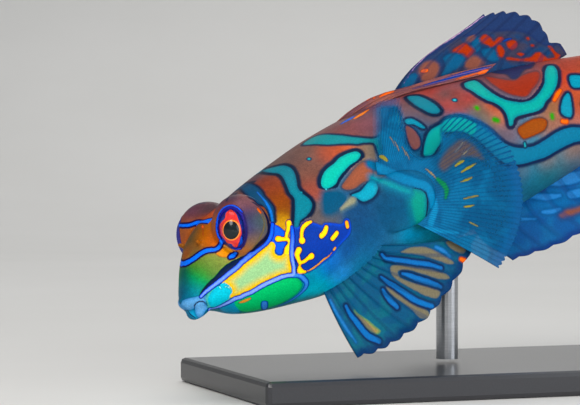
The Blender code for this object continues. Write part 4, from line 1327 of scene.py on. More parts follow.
def build_eyes():
    """Both eyes, the right one marked as the mirror of the left."""
    marks = None
    for side, word in ((-1, "left"), (1, "right")):
        along, up, out = (np.array(v) for v in eye_axes(side))
        centre = on_side(EYE_CENTRE, side) + along * EYE_SLIDE + out * (EYE_DOME_HALF[2] - EYE_DEPTH)
        if side > 0:
            along = -along
        rings = ball_rings(centre, (along, up, out), (*IRIS_HALF, EYE_DEPTH + EYE_PROUD), 96, 140)
        points, faces = closed_rings(rings)
        if side > 0:
            faces = [tuple(reversed(f)) for f in faces]
        if marks is None:
            marks = Canvas(points, faces, points - centre, False)
            marks.patch(0, IRIS_RED, IRIS_OUTLINE)
            marks.patch(1, SPOT_BLUE, EYE_SPOT)
            marks.patch(2, PUPIL, PUPIL_OUTLINE)
        eye = mesh_object(f"{word}_eye", pose(points), faces)
        marks.write(eye.data)
        eye.data.materials.append(eye_material(f"{word}_eye"))
        eye.data.shade_smooth()
        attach(eye, "root")
        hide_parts(f"eye_{word}")


def rise(x, start, end):
    """A share that grows evenly from 0 at start to 1 at end."""
    return np.clip((x - start) / (end - start), 0, 1)


# This makes s (1 - s) ** 2 reach 1 where it is greatest, at a third of a ray's length.
BOW_SCALE = 27 / 4


def fin_ray(root, tip, bow, s):
    """A ray from root to tip that bows aside by the vector bow at a third of its length."""
    s = s[:, None]
    return between((root, tip), s) + np.array(bow) * BOW_SCALE * s * (1 - s) ** 2


def root_and_tip(ends, tips, t):
    """Where the root of an unpaired fin's ray stands along the body, with the ray's tip."""
    tip_x, tip_z = (smooth_values([(p[0], p[k]) for p in tips], t) for k in (1, 2))
    return between(ends, t), tip_x, tip_z


# From here on, t runs from 0 at a fin's first ray to 1 at its last, and s from 0 at a ray's root to 1 at its
# tip. The second dorsal and anal fins have the place along the body of their first and last root, and the
# place of the tip for some values of t. Then come how far the rays stand aside, their bow and the fin's wave.
FIN_SINK = 0.6
SECOND_DORSAL_ROOT = (23.2, 38.0)
SECOND_DORSAL_TIPS = (
    (0.0, 33.3, 14.15), (0.25, 34.9, 14.0), (0.55, 37.1, 12.9), (0.7, 37.8, 11.6), (0.82, 37.95, 10.55),
    (0.92, 38.8, 10.15), (1.0, 39.0, 9.2),
)
SECOND_DORSAL_ROOT_ASIDE = 0.1
SECOND_DORSAL_TIP_ASIDE = (1.3, 0.5)
SECOND_DORSAL_BOWS = ((-0.5, -0.3, 0.7), (-0.2, -0.3, 0.3))
ANAL_ROOT = (27.0, 38.5)
ANAL_TIPS = ((0.0, 29.4, -6.2), (0.3, 32.6, -6.1), (0.6, 36.4, -5.4), (1.0, 42.0, -2.6))
ANAL_ASIDE = -0.4
ANAL_BOW = (-0.2, -0.5)
ANAL_WAVE = 0.25
ANAL_WAVE_TURN = 9
# The tail fin: half the angle of its fan and how much the rays flare, its longest ray and how much shorter
# the outer ones are, how deep its root sits, the root's middle and half height, and the fin's wave.
CAUDAL_SPREAD = 19.0
CAUDAL_FLARE = 0.15
CAUDAL_LENGTH = 13.4
CAUDAL_ROUNDING = 1.8
CAUDAL_SINK = 0.9
CAUDAL_ROOT_HEIGHT = 5.5
CAUDAL_ROOT_HALF = 1.9
CAUDAL_WAVE = 0.35
CAUDAL_WAVE_TURN = 4


def second_dorsal_ray(t, s):
    root_x, tip_x, tip_z = root_and_tip(SECOND_DORSAL_ROOT, SECOND_DORSAL_TIPS, t)
    root = (root_x, SECOND_DORSAL_ROOT_ASIDE, back(root_x) - FIN_SINK)
    tip = (tip_x, between(SECOND_DORSAL_TIP_ASIDE, t), tip_z)
    return fin_ray(root, tip, between(SECOND_DORSAL_BOWS, t), s)


def anal_ray(t, s):
    root_x, tip_x, tip_z = root_and_tip(ANAL_ROOT, ANAL_TIPS, t)
    wave = ANAL_WAVE * math.sin(ANAL_WAVE_TURN * t)
    root = (root_x, 0, belly(root_x) + FIN_SINK)
    return fin_ray(root, (tip_x, wave + ANAL_ASIDE, tip_z), (ANAL_BOW[0], wave, ANAL_BOW[1]), s)


def caudal_ray(t, s):
    spread = 2 * t - 1
    lean = math.radians(CAUDAL_SPREAD) * spread
    length = CAUDAL_LENGTH - CAUDAL_ROUNDING * spread**2
    x = BODY_LENGTH - CAUDAL_SINK + length * s * np.cos(lean)
    z = CAUDAL_ROOT_HEIGHT + CAUDAL_ROOT_HALF * spread
    z = z + length * s * np.sin(lean * (1 + CAUDAL_FLARE * s))
    y = CAUDAL_WAVE * np.sin(CAUDAL_WAVE_TURN * spread) * s
    return np.stack([x, y, z], -1)


# How far the tips of the pectoral fan bend away from the body, the power that this grows by along a ray and
# the share of it that a level ray has, how far the tips droop, and where on half a wave the lengths of the
# first and the last ray are read.
PECTORAL_CUP = 0.9
PECTORAL_CUP_POWER = 1.6
PECTORAL_CUP_LEAST = 0.25
PECTORAL_DROOP = 0.5
PECTORAL_HALF_WAVE = (0.02, 0.72)


def pectoral_ray(side):
    along, up, out = (np.array(v) for v in pectoral_axes(side))

    def ray(t, s):
        angle = math.radians(between(PECTORAL_FANS[side][:2], t))
        longer = math.sin(math.pi * between(PECTORAL_HALF_WAVE, t)) ** 2
        length = PECTORAL_LENGTH * (PECTORAL_SHORTEST + (1 - PECTORAL_SHORTEST) * longer)
        reach = PECTORAL_INNER + (length - PECTORAL_INNER) * s
        way = along * math.cos(angle) + up * math.sin(angle)
        points = on_side(PECTORAL_CENTRE, side) + reach[:, None] * way
        cup = PECTORAL_CUP * (PECTORAL_CUP_LEAST + abs(math.sin(angle)))
        points[:, 1] += side * cup * s**PECTORAL_CUP_POWER
        points[:, 2] -= PECTORAL_DROOP * s**2
        return points

    return ray


# Pelvic fins: the first and last root, how far the roots are lifted on each side, and for the first and the
# last ray of each side its angle, its length and how far outwards it leans. Then how many degrees a ray curls
# up to its tip, how much of its lean it loses there, and how much the fin waves.
PELVIC_ROOTS = ((11.3, 2.3, -3.2), (15.9, 4.7, -1.5))
PELVIC_LIFT = {-1: 0.4, 1: 0.9}
PELVIC_FANS = {-1: ((-101.0, 6.1, 0.42), (-23.0, 9.8, 0.06)), 1: ((-36.0, 6.4, 0.24), (-18.0, 9.2, 0.02))}
PELVIC_CURL = 10
PELVIC_LEAN_LOSS = 0.3
PELVIC_WAVE = 0.15
PELVIC_WAVE_TURN = 16


def pelvic_ray(side):
    def ray(t, s):
        angle, length, outward = between(PELVIC_FANS[side], t)
        root = between(PELVIC_ROOTS, t)
        angle = np.radians(angle + PELVIC_CURL * s)
        x = root[0] + length * s * np.cos(angle)
        z = root[2] + PELVIC_LIFT[side] + length * s * np.sin(angle)
        wave = PELVIC_WAVE * math.sin(PELVIC_WAVE_TURN * t) * s
        y = side * (root[1] + outward * length * s * (1 - PELVIC_LEAN_LOSS * s) + wave)
        return np.stack([x, y, z], -1)

    return ray


# The folded first dorsal fin: where each spine's root and end are along the body.
FOLDED_SPINES = ((18.4, 32.4), (19.6, 32.0), (20.9, 31.6), (22.2, 31.2))
# How far aside the spines stand at their roots and how far they turn aside further back, the part of the body
# over which they turn, and how far they sink there.
FOLD_ROOT_ASIDE = 0.1
FOLD_ASIDE = 1.15
FOLD_TURN = (20.0, 25.0)
FOLD_TURN_SINK = 0.14
# How high the first spine arches, how much of that it loses in the turn, how far the spines fan out and the
# part of the body over which they do.
FOLD_ARCH = 0.6
FOLD_ARCH_LOSS = 0.75
FOLD_HALF = 0.14
FOLD_FAN = (24, 28)
# How deep the roots sit, how far every spine rises out of the back, and how much further the first and the
# last one do.
FOLD_SINK = 0.10
FOLD_CLEAR = 0.15
FOLD_CLEAR_ENDS = (0.30, 0.09)


def first_dorsal_ray(t, s):
    root, end = (np.interp(t * 3, range(4), [v[j] for v in FOLDED_SPINES]) for j in (0, 1))
    x = between((root, end), s)
    turned = ease(x, *FOLD_TURN)
    arch = FOLD_ARCH * (1 - t) * rise(s, 0, 1 / 4) * (1 - FOLD_ARCH_LOSS * rise(x, *FOLD_TURN))
    fanned = FOLD_HALF * (1 - 2 * t) * rise(x, *FOLD_FAN)
    clear = (FOLD_CLEAR + between(FOLD_CLEAR_ENDS, t)) * rise(s, 0, 1 / 3)
    z = station(1, x) - FOLD_SINK - FOLD_TURN_SINK * turned + clear + arch + fanned
    return np.stack([x, -FOLD_ASIDE * turned - FOLD_ROOT_ASIDE, z], -1)


class Fin:
    """Settings of one fin: rays, web recess at the margin, thickness of web and ray in mm, and its looks.

    steps is how many points a ray has, and per how many columns of points there are from ray to ray.
    """

    def __init__(self, node, ray, rays, recess, web, ridge, looks, steps=80, per=14):
        self.node, self.ray, self.rays, self.recess = node, ray, rays, recess
        self.web, self.ridge, self.looks, self.steps, self.per = web, ridge, looks, steps, per


# How wide a ray's ridge is, as a share of half the space between rays, how much of it is gone at the tip and
# by which power, the power that the web's recess grows by from ray to middle, and how much of its thickness
# the fin loses from a share of its length on.
RIDGE_WIDTH = 0.26
RIDGE_TAPER = 0.85
RIDGE_TAPER_POWER = 1.1
RECESS_POWER = 1.5
MARGIN_LOSS = 0.5
MARGIN_START = 0.9


def fin_mesh(fin):
    """Both faces of a fin, closed round its edge, with its rays as ridges."""
    s = np.linspace(0, 1, fin.steps)
    columns = np.linspace(0, fin.rays - 1, (fin.rays - 1) * fin.per + 1)
    cell = np.abs((columns + 0.5) % 1 - 0.5) * 2
    recess = fin.recess * cell**RECESS_POWER
    rays = [fin.ray(c / (fin.rays - 1), s * (1 - r)) for c, r in zip(columns, recess)]
    middle = np.array(rays)
    normal = np.cross(np.gradient(middle, axis=0), np.gradient(middle, axis=1))
    normal /= np.linalg.norm(normal, axis=2, keepdims=True) + 1e-12
    ridge = np.exp(-((cell / RIDGE_WIDTH) ** 2))[:, None] * (1 - RIDGE_TAPER * s**RIDGE_TAPER_POWER)
    thick = between((fin.web, fin.ridge), ridge) / 2 * (1 - MARGIN_LOSS * ease(s, MARGIN_START, 1))
    n, m = middle.shape[:2]
    front = (middle + normal * thick[:, :, None]).reshape(-1, 3)
    rear = (middle - normal * thick[:, :, None]).reshape(-1, 3)
    faces = grid_faces(n, m)
    faces += [tuple(v + n * m for v in reversed(f)) for f in grid_faces(n, m)]
    border = list(range(m)) + [i * m + m - 1 for i in range(1, n)]
    border += [(n - 1) * m + k for k in reversed(range(m - 1))] + [i * m for i in reversed(range(1, n - 1))]
    for a, b in zip(border, border[1:] + border[:1]):
        faces.append((b, a, a + n * m, b + n * m))
    ray_share = np.repeat(columns[:, None], m, 1).ravel()
    reach = np.repeat(s[None, :], n, 0).ravel()
    return np.concatenate([front, rear]), faces, np.tile(ray_share, 2), np.tile(reach, 2)


def fin_material(name, web, web_other, ray, margin, clear):
    """A rayed fin: rays, a web between two colours and a margin. clear is how see-through the web gets."""
    nodes = Nodes(name)
    place = nodes.millimetres()
    rays = nodes.attribute("ray")
    reach = nodes.attribute("reach")
    share = nodes.math("FRACT", nodes.math("ADD", rays, 0.5))
    offset = nodes.math("ABSOLUTE", nodes.math("SUBTRACT", share, 0.5))
    on_ray = nodes.ramp(offset, 0.20, 0.06)
    blend = nodes.ramp(nodes.noise(place, scale=0.55, detail=3.0, distortion=0.6), 0.40, 0.60)
    colour = nodes.mix(blend, srgb(*web), srgb(*web_other))
    colour = nodes.mix(nodes.ramp(reach, 0.84, 0.98), colour, srgb(*margin))
    colour = nodes.clear_colour(painted_colour(nodes, colour, place, wobble=0.07))
    colour = nodes.mix(nodes.math("MULTIPLY", on_ray, 0.42), colour, srgb(*ray))
    grain = nodes.noise(place, scale=8.0, detail=3.0)
    colour = nodes.grained(colour, grain, depth=0.6, least=0.7)
    web_alpha = nodes.math("SUBTRACT", 1.0, nodes.math("MULTIPLY", nodes.ramp(reach, 0.0, 0.8), clear))
    web_alpha = nodes.math("MULTIPLY", web_alpha, nodes.attribute("web_veil"))
    ray_alpha = nodes.math("MULTIPLY", nodes.math("MULTIPLY", on_ray, 0.9), nodes.attribute("ray_veil"))
    marked = nodes.ramp(nodes.attribute("distance_1"), 0.1, 0.0)
    solid = nodes.math("MAXIMUM", ray_alpha, nodes.math("MULTIPLY", marked, 0.9))
    return nodes.surface(
        base_color=colour, roughness=0.42, specular_ior_level=0.08, coat_weight=0.01, coat_roughness=0.15,
        alpha=nodes.math("MAXIMUM", web_alpha, solid),
        normal=nodes.bump(grain, distance=0.00004, strength=0.3),
    )


DARK_BLUES = ((24, 60, 102), (58, 56, 78), (16, 30, 70), (24, 40, 92))
ANAL_BLUES = ((10, 96, 154), (20, 84, 146), (4, 60, 116), (14, 54, 122))
TAIL_BLUES = ((10, 96, 140), (30, 80, 120), (12, 50, 90), (24, 36, 110))
PECTORAL_BLUES = ((2, 84, 130), (4, 106, 154), (0, 50, 92), (28, 92, 146))
PELVIC_BLUES = ((2, 98, 118), (12, 80, 118), (4, 56, 92), (8, 50, 98))
ROD_COLOURS = ((148, 90, 82), (116, 74, 84), (188, 116, 96), (120, 70, 76))

# Name, ray, number of rays, recess, thickness of web and ray in mm, and the looks: two colours of the web,
# one of the rays and one of the margin, and how see-through the web gets.
FINS = (
    Fin("dorsal_fin_first", first_dorsal_ray, 4, 0.0, 0.20, 0.46, (*ROD_COLOURS, 0.0)),
    Fin("dorsal_fin_second", second_dorsal_ray, 9, 0.035, 0.14, 0.34, (*DARK_BLUES, 0.06)),
    Fin("anal_fin", anal_ray, 8, 0.035, 0.14, 0.34, (*ANAL_BLUES, 0.08)),
    Fin("caudal_fin", caudal_ray, 10, 0.03, 0.14, 0.36, (*TAIL_BLUES, 0.10)),
    Fin("pectoral_fin_left", pectoral_ray(-1), 56, 0.02, 0.07, 0.12, (*PECTORAL_BLUES, 0.22), per=6),
    Fin("pectoral_fin_right", pectoral_ray(1), 56, 0.02, 0.07, 0.12, (*PECTORAL_BLUES, 0.22), per=6),
    Fin("pelvic_fin_left", pelvic_ray(-1), 11, 0.035, 0.22, 0.42, (*PELVIC_BLUES, 0.0)),
    Fin("pelvic_fin_right", pelvic_ray(1), 11, 0.035, 0.22, 0.42, (*PELVIC_BLUES, 0.0)),
)

FIN_RED = Finish((166, 50, 20), (144, 46, 28), (54, 40, 60), 0.08, 0.22, 0.20)
FIN_TEAL = Finish((0, 84, 126), (2, 74, 114), (20, 46, 84), 0.12, 0.30, 0.28)
FIN_BROWN = Finish((132, 76, 62), (108, 70, 68), (46, 50, 84), 0.12, 0.42, 0.28)
WEB_BROWN = Finish((88, 76, 78), (60, 76, 96), (20, 80, 118), 0.30, 0.60, 0.35)
FIN_NAVY = Finish((32, 54, 98), (26, 44, 92), (46, 56, 84), 0.16, 0.40, 0.36)
FIN_ORANGE = Finish((240, 104, 26), (224, 84, 24), (120, 60, 50), 0.04, 0.06, 0.08)
FIN_LILAC = Finish((196, 160, 190), (150, 120, 170), (60, 60, 120), 0.02, 0.04, 0.03)
FIN_TAN = Finish((116, 108, 86), (98, 102, 92), (4, 66, 106), 0.14, 0.20, 0.20)
FIN_YELLOW = Finish((156, 134, 80), (86, 140, 86), (0, 92, 120), 0.12, 0.22, 0.30)
FIN_BLUE = Finish((28, 108, 178), (10, 82, 152), (0, 38, 78), 0.20, 0.12, 0.14)
FIN_LIGHT = Finish((48, 124, 190), (32, 108, 174), (8, 74, 128), 0.10, 0.24, 0.16)
ROD_BLUE = Finish((14, 62, 150), (12, 50, 132), (20, 30, 84), 0.03, 0.05, 0.06)
RAY_SPOT = Finish((146, 138, 44), (126, 112, 56), (30, 80, 90), 0.04, 0.08, 0.06)
RAY_GREEN = Finish((0, 132, 70), (8, 112, 82), (0, 84, 104), 0.08, 0.14, 0.12)
RAY_TAN = Finish((150, 130, 90), (120, 110, 90), (40, 80, 110), 0.03, 0.08, 0.06)

# Marks of the fins, outlined by points of the photograph's frame.
FIN_PATCHES = {
    "dorsal_fin_second": (
        (FIN_NAVY, (
            (404, 72), (418, 56), (440, 40), (465, 28), (480, 10), (500, 6), (540, 12), (556, 38), (552, 46),
            (540, 44), (527, 34), (510, 31), (495, 32), (484, 31), (474, 37), (462, 37), (450, 44), (436, 53),
            (424, 61), (412, 72))),
        (FIN_TEAL, (
            (443, 58), (448, 54), (455, 53), (462, 55), (466, 60), (463, 66), (455, 70), (447, 75), (441, 76),
            (445, 66))),
        (FIN_TEAL, ((482, 50), (488, 48), (494, 49), (497, 55), (499, 60), (494, 62), (488, 60), (483, 56))),
        (FIN_TEAL, ((472, 42), (478, 37), (481, 44), (480, 50), (476, 52), (472, 47))),
        (FIN_TEAL, ((401, 88), (405, 79), (412, 73), (418, 75), (415, 83), (407, 90))),
        (FIN_BROWN, ((418, 70), (424, 62), (432, 60), (438, 63), (440, 70), (436, 78), (428, 83), (421, 80))),
        (FIN_BROWN, ((466, 60), (474, 55), (481, 58), (485, 63), (480, 68), (470, 70), (464, 66))),
        (FIN_BROWN, ((466, 41), (470, 34), (476, 32), (475, 38), (471, 42))),
        (FIN_RED, (
            (452, 51), (458, 46), (465, 43), (470, 47), (474, 50), (472, 55), (468, 58), (464, 54),
            (458, 53))),
        (FIN_RED, (
            (480, 38), (485, 34), (490, 37), (494, 41), (499, 36.6), (504, 38.6), (499, 43.6), (492, 47),
            (486, 44.6), (481, 42))),
        (FIN_RED, ((497, 45), (500, 44.4), (503.4, 48), (505, 52.4), (503, 57.6), (499, 56), (497, 50))),
        (FIN_RED, ((507, 42), (513, 40), (517.6, 43), (516, 48), (511, 50), (507, 46))),
        (FIN_RED, (
            (507, 57), (520, 58.4), (530, 57), (535, 53), (540, 52), (544, 55), (548, 58), (554, 57),
            (552, 52), (547, 45), (551, 45.6), (556, 52), (560.6, 55.6), (557, 61), (548, 63.6), (530, 61.6),
            (515, 61), (507, 60))),
        (FIN_RED, ((517, 54), (520, 52.4), (524.4, 54), (521, 56.4))),
        (FIN_RED, ((526, 37), (529, 37), (529.6, 39.6), (527, 40))),
        (FIN_RED, ((531, 44.4), (534.4, 45), (533.6, 47), (531, 46.4))),
    ),
    "pectoral_fin_left": (
        (WEB_BROWN, (
            (438, 166), (442, 156), (450, 146), (461, 139), (472, 143), (480, 152), (484, 160), (474, 158),
            (464, 158), (452, 166), (444, 172))),
    ),
    "pelvic_fin_left": (
        (FIN_TAN, (
            (401, 252.4), (407, 248.6), (416, 246.6), (428, 247.6), (438, 252), (447, 257), (454, 263),
            (448, 264), (438, 260.6), (424, 256), (412, 254))),
        (FIN_TAN, (
            (391, 266.4), (400, 264.6), (415, 266), (430, 268), (442, 272), (450, 278), (440, 279),
            (425, 275), (410, 270.6), (399, 271), (400, 277), (412, 282), (428, 286), (440, 291), (437, 298),
            (426, 296), (412, 289), (400, 282), (392, 275))),
        (FIN_TAN, (
            (386, 286.6), (392, 288.6), (402, 296), (414, 303.6), (427, 310), (430, 318), (420, 318),
            (411, 309), (400, 301), (391, 294.6))),
        (FIN_YELLOW, (
            (353.6, 309), (358, 313), (365, 318), (373, 324), (381, 331), (376, 335), (368, 331),
            (361, 323.6), (356, 317))),
        (FIN_TAN, ((446, 242), (452, 240), (459, 243), (466, 250), (462, 254), (452, 249))),
    ),
    "anal_fin": (
        (FIN_LIGHT, (
            (545, 183), (552, 178), (562, 174), (580, 170.6), (598, 166), (598, 174), (580, 182),
            (565, 185.6), (552, 186))),
        (FIN_LIGHT, ((567, 192), (580, 188), (596, 180), (600, 186), (584, 196), (571, 199))),
        (FIN_LIGHT, ((606, 168), (620, 160), (634, 152), (636, 160), (622, 170), (608, 176))),
        (FIN_LIGHT, ((644, 148), (656, 140), (668, 134), (666, 144), (652, 152))),
        (FIN_BROWN, ((559, 214.6), (565, 210), (575, 207.6), (588, 203), (590, 208), (576, 214), (564, 218))),
        (FIN_BROWN, ((602, 196), (614, 188), (624, 182), (624, 190), (612, 199))),
        (FIN_BROWN, ((534, 183), (540, 181), (545, 185), (541, 191), (535, 190))),
    ),
}

# Lines of the fins: finish, half widths in mm and the points that they run through.
FIN_LINES = {
    "dorsal_fin_first": (
        (SPINE_BLUE, (0.08, 0.15, 0.12), ((341, 122.4), (347, 118.6), (353, 115))),
        (SPINE_ORANGE, (0.10, 0.17, 0.10), ((354.6, 117), (361, 113), (368, 108.4))),
        (FIN_ORANGE, (0.10, 0.10), ((367, 100), (369, 99))),
        (FIN_ORANGE, (0.08, 0.10), ((374, 98), (376, 94))),
        (FIN_ORANGE, (0.07, 0.10, 0.10), ((380, 97), (385, 94), (393, 92))),
        (FIN_ORANGE, (0.05, 0.05), ((386, 89), (390, 88))),
        (ROD_BLUE, (0.03, 0.08, 0.12, 0.14, 0.06), (
            (412, 89), (431.7, 83.4), (446, 79.4), (467.8, 72.4), (491, 67))),
        (FIN_ORANGE, (0.02, 0.05, 0.04), ((454, 80.4), (464.4, 77), (476.7, 73.4))),
        (FIN_ORANGE, (0.10, 0.14, 0.10), ((479, 73), (485, 71.4), (493.3, 69.6))),
    ),
    "dorsal_fin_second": (
        (FIN_ORANGE, (0.14, 0.14), ((423, 71), (427, 70.4))),
        (FIN_LILAC, (0.02, 0.05, 0.05, 0.04), (
            (404, 83), (411, 72), (421, 60.4), (431, 52), (441, 45), (451, 38.4), (461, 32), (471, 25.4),
            (480, 18.4), (484, 16))),
        (ROD_BLUE, (0.05, 0.08, 0.05), ((503, 41.6), (507, 39.4), (511, 38.6))),
    ),
    "pelvic_fin_left": (
        (FIN_BLUE, (0.12, 0.18, 0.20, 0.16), (
            (382, 254), (386, 258.6), (400, 260.4), (415, 262.4), (430, 264.6), (441, 268))),
        (FIN_BLUE, (0.12, 0.22, 0.24, 0.16), (
            (402.4, 273.6), (408, 275), (418, 279), (430, 282.4), (441, 287))),
        (FIN_BLUE, (0.12, 0.22, 0.26, 0.22), (
            (381, 277), (388, 282), (398, 288.4), (408, 295.6), (418, 301.6), (432, 306))),
        (FIN_BLUE, (0.14, 0.24, 0.20), ((383, 290), (387, 296.4), (392, 302), (397, 307))),
        (FIN_BLUE, (0.12, 0.24, 0.28, 0.24), (
            (346, 306), (350, 314), (357, 322.6), (363, 330.6), (370, 337), (379, 341))),
        (FIN_LIGHT, (0.16, 0.22, 0.10), ((403, 242.6), (411, 241), (421, 239.6))),
        (FIN_LIGHT, (0.14, 0.20, 0.12), ((436, 247), (442, 250), (450, 256))),
        (FIN_LIGHT, (0.10, 0.14, 0.14, 0.08), ((330, 300), (336, 312), (346, 328), (356, 342))),
        (VIVID_ORANGE, (0.14, 0.20), ((461, 259), (468, 262.4))),
    ),
    "anal_fin": (
        (FIN_LIGHT, (0.10, 0.26, 0.32, 0.18), ((524, 195), (535, 196.4), (548, 197), (560, 195.6))),
        (FIN_LIGHT, (0.16, 0.24, 0.16), ((543, 212), (551, 211.6), (560, 209))),
        (FIN_LIGHT, (0.10, 0.14, 0.10), ((505, 216), (520, 219), (536, 219))),
        (FIN_LIGHT, (0.10, 0.16, 0.10), ((600, 212), (612, 206), (622, 201))),
    ),
    "pectoral_fin_left": (
        (PAD_START, (0.30, 0.42, 0.42), ((370, 164), (380, 168.4), (392, 174), (402, 178))),
        (PAD_EDGE, (0.10, 0.26, 0.30, 0.30), ((429, 190), (434, 199), (434.6, 210), (431, 223))),
        (PAD_EDGE, (0.20, 0.20, 0.10), ((426, 228), (440, 231), (458, 233))),
        (RAY_SPOT, (0.14, 0.18, 0.10), ((380.6, 156.6), (383.4, 157.6), (387, 160.4))),
        (RAY_GREEN, (0.14, 0.22, 0.20, 0.12), ((437.6, 179), (443.4, 184.6), (446.6, 190), (445.6, 198))),
        (RAY_TAN, (0.05, 0.10, 0.05), ((426, 169), (431, 173), (436, 178))),
        (RAY_SPOT, (0.08, 0.14, 0.08), ((455, 166), (459, 163), (463.6, 160.6))),
        (RAY_SPOT, (0.06, 0.13, 0.06), ((461.4, 172.4), (468, 168), (475.6, 163.4))),
        (RAY_SPOT, (0.05, 0.10, 0.05), ((460.6, 182), (466, 180), (472, 177.4))),
        (RAY_SPOT, (0.05, 0.09, 0.05), ((464, 198.8), (471, 197.2), (478, 195.6))),
        (RAY_SPOT, (0.05, 0.09, 0.05), ((464, 206.8), (469, 206.2), (474, 205.2))),
        (RAY_SPOT, (0.03, 0.05, 0.03), ((469, 222), (473, 224), (478, 226.4))),
        (RAY_TAN, (0.04, 0.07, 0.04), ((390, 137), (392.6, 141), (394.6, 146))),
        (RAY_TAN, (0.04, 0.07, 0.04), ((394.6, 141), (397, 146), (399, 151))),
        (RAY_TAN, (0.04, 0.07, 0.04), ((402, 147), (404.6, 151.6), (406, 156))),
        (RAY_TAN, (0.04, 0.07, 0.04), ((406, 152), (408, 156), (409.4, 160))),
        (RAY_TAN, (0.03, 0.05, 0.03), ((455, 152), (459.6, 147), (463, 142))),
        (RAY_TAN, (0.03, 0.05, 0.03), ((462, 156), (466.6, 151.4), (471, 147))),
    ),
}

# Parts of the fins that are more see-through: down to which share of what they were the web and the rays
# thin, and the outline in the photograph's frame.
FIN_WINDOWS = {
    "pectoral_fin_left": (
        (0.03, 0.03, (
            (404, 86), (404, 122), (407, 146), (418, 158), (428, 158), (438, 154), (442, 143), (441, 128),
            (448, 117), (462, 114), (476, 119), (488, 127), (499, 138), (508, 147), (530, 140), (520, 80),
            (460, 70))),
        (0.20, 0.20, ((360, 88), (374.4, 90), (376.6, 130), (378.6, 158), (366, 160))),
        (0.60, 0.50, ((360, 88), (378.4, 90), (380.6, 130), (382.6, 158), (366, 160))),
        (0.30, 0.30, ((366, 86), (408, 86), (408, 104), (390, 106), (368, 106))),
        (0.40, 1.00, ((396, 92), (406, 92), (408, 128), (400, 126))),
        (0.15, 1.00, (
            (442, 124), (452, 116), (470, 118), (490, 132), (512, 150), (512, 166), (500, 164), (486, 150),
            (474, 139), (458, 132), (446, 136))),
    ),
}

# Streaks of the tail fin along its rays: the first and last share of the ray's length that each one takes,
# how far they step from ray to ray, and how far behind each one the blue starts and ends.
TAIL_STREAKS = ((0.16, 0.30), (0.42, 0.54), (0.66, 0.78))
TAIL_STEP = 0.05
TAIL_GAP = (0.03, 0.08)


def mark_tail(canvas, fin):
    """Orange streaks along the tail's rays, in rows that step from ray to ray, with blue between the rows."""
    for k in range(fin.rays - 1):
        t = (k + 0.5) / (fin.rays - 1)
        for row, (first, last) in enumerate(TAIL_STREAKS):
            shift = TAIL_STEP * ((k + row) % 2)
            way = fin.ray(t, np.linspace(first + shift, last + shift, 5))
            canvas.stroke(0, FIN_ORANGE if row % 2 == 0 else FIN_TAN, (0.12, 0.22, 0.12), way)
            between = fin.ray(t, np.linspace(last + shift + TAIL_GAP[0], last + shift + TAIL_GAP[1], 3))
            canvas.stroke(1, FIN_BLUE, (0.10, 0.14, 0.10), between)


def build_fins():
    """Fine fins. A right paired fin takes the marks of the left one, ray by ray."""
    marks = {}
    for fin in FINS:
        points, faces, ray_share, reach = fin_mesh(fin)
        name = fin.node.replace("_fin", "") + "_rays"
        made = mesh_object(name, pose(points), faces)
        store(made.data, "ray", ray_share)
        store(made.data, "reach", reach)
        kind = fin.node.replace("right", "left")
        if kind not in marks:
            canvas = Canvas(points, faces, points, False)
            for finish, outline in FIN_PATCHES.get(kind, ()):
                canvas.patch(0, finish, outline)
            for finish, widths, way in FIN_LINES.get(kind, ()):
                canvas.line(1, finish, widths, way)
            for window in FIN_WINDOWS.get(kind, ()):
                canvas.veil(*window)
            if kind == "caudal_fin":
                mark_tail(canvas, fin)
            marks[kind] = canvas
        marks[kind].write(made.data)
        for veil, values in marks[kind].veils.items():
            store(made.data, veil, values if kind == fin.node else np.ones(len(points)))
        made.data.materials.append(fin_material(name, *fin.looks))
        made.data.shade_smooth()
        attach(made, "root")
        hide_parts(fin.node)


def dress_stand():
    """Dark lacquer on the base and brushed metal on the rod."""
    base = Nodes("stand_base")
    place = base.millimetres()
    grain = base.noise(place, scale=6.0, detail=4.0)
    base.surface(
        base_color=base.mix(grain, srgb(34, 34, 38), srgb(44, 44, 48)), roughness=0.38, coat_weight=0.3,
        coat_roughness=0.1, normal=base.bump(grain, distance=0.00003, strength=0.2),
    )
    rod = Nodes("stand_rod")
    place = rod.millimetres()
    brushed = rod.noise(rod.vector("MULTIPLY", place, (1.0, 1.0, 24.0)), scale=1.0, detail=3.0)
    rod.surface(
        base_color=rod.mix(brushed, srgb(150, 152, 156), srgb(200, 202, 206)), metallic=1.0, roughness=0.28,
        normal=rod.bump(brushed, distance=0.00002, strength=0.3),
    )
    for node, nodes in (("stand_base", base), ("stand_rod", rod)):
        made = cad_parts[node]
        made.data.materials.clear()
        made.data.materials.append(nodes.material)


# The stage in metres: half the floor's width, its front edge, where it curves up, the radius of that curve
# and the top of the wall.
FLOOR_HALF = 1.2
FLOOR_FRONT = -1.0
FLOOR_REAR = 0.25
FLOOR_CURVE = 0.35
WALL_TOP = 1.6

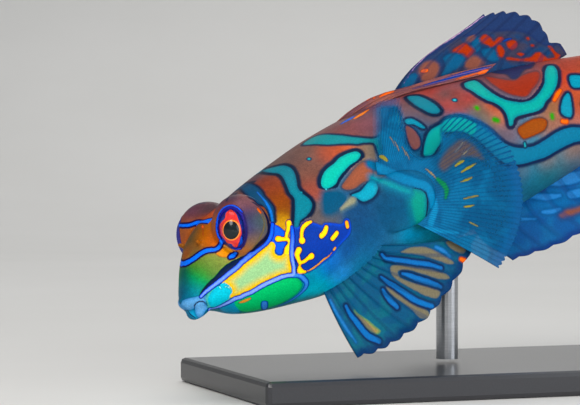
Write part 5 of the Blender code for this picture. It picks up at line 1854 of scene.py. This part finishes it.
LIGHTS = (
    # name, place in metres, size, power and colour
    ("key", (-0.22, -0.30, 0.26), 0.22, 0.95, (1.0, 0.98, 0.95)),
    ("fill", (0.25, -0.40, 0.12), 0.35, 0.75, (0.92, 0.96, 1.0)),
    ("low", (-0.03, -0.20, 0.01), 0.16, 0.34, (0.96, 0.98, 1.0)),
    ("top", (0.0, 0.05, 0.45), 0.35, 0.6, (1.0, 1.0, 1.0)),
    ("rear", (0.15, 0.35, 0.25), 0.25, 0.25, (1.0, 1.0, 1.0)),
)
LIGHT_AIM = (-0.002, 0, 0.014)
WORLD_COLOUR = (0.9, 0.95, 1.0, 1)
WORLD_STRENGTH = 0.3


def build_stage():
    """A pale floor that curves up behind the model."""
    profile = [(FLOOR_FRONT, 0.0), (FLOOR_REAR, 0.0)]
    for angle in np.linspace(0, math.pi / 2, 16)[1:]:
        y = FLOOR_REAR + FLOOR_CURVE * math.sin(angle)
        profile.append((y, FLOOR_CURVE - FLOOR_CURVE * math.cos(angle)))
    profile.append((FLOOR_REAR + FLOOR_CURVE, WALL_TOP))
    rows = [[(x, y, z) for y, z in profile] for x in (-FLOOR_HALF, FLOOR_HALF)]
    floor = mesh_object("floor", np.array(rows).reshape(-1, 3), grid_faces(2, len(profile)))
    nodes = Nodes("floor")
    place = nodes.millimetres()
    tone = nodes.noise(place, scale=0.02, detail=3.0)
    nodes.surface(base_color=nodes.mix(tone, srgb(214, 212, 208), srgb(224, 222, 219)), roughness=0.85)
    floor.data.materials.append(nodes.material)
    floor.data.shade_smooth()
    floor.rotation_euler = (0, 0, math.radians(CAMERA_AZIMUTH))


def build_lights():
    """Soft disks of light round the model. The low one only brightens, and shows in no reflection."""
    for name, place, size, power, colour in LIGHTS:
        data = bpy.data.lights.new(name, "AREA")
        data.shape = "DISK"
        data.size = size
        data.energy = power
        data.color = colour
        light = bpy.data.objects.new(name, data)
        bpy.context.scene.collection.objects.link(light)
        light.location = place
        light.visible_glossy = name != "low"
        way = Vector(LIGHT_AIM) - Vector(place)
        light.rotation_euler = way.to_track_quat("-Z", "Y").to_euler()
    world = bpy.data.worlds.new("world")
    world.use_nodes = True
    background = world.node_tree.nodes["Background"]
    background.inputs["Color"].default_value = WORLD_COLOUR
    background.inputs["Strength"].default_value = WORLD_STRENGTH
    bpy.context.scene.world = world
    bpy.context.scene.view_settings.view_transform = "Standard"


build_camera()
build_skin()
build_eyes()
build_fins()
dress_stand()
build_stage()
build_lights()
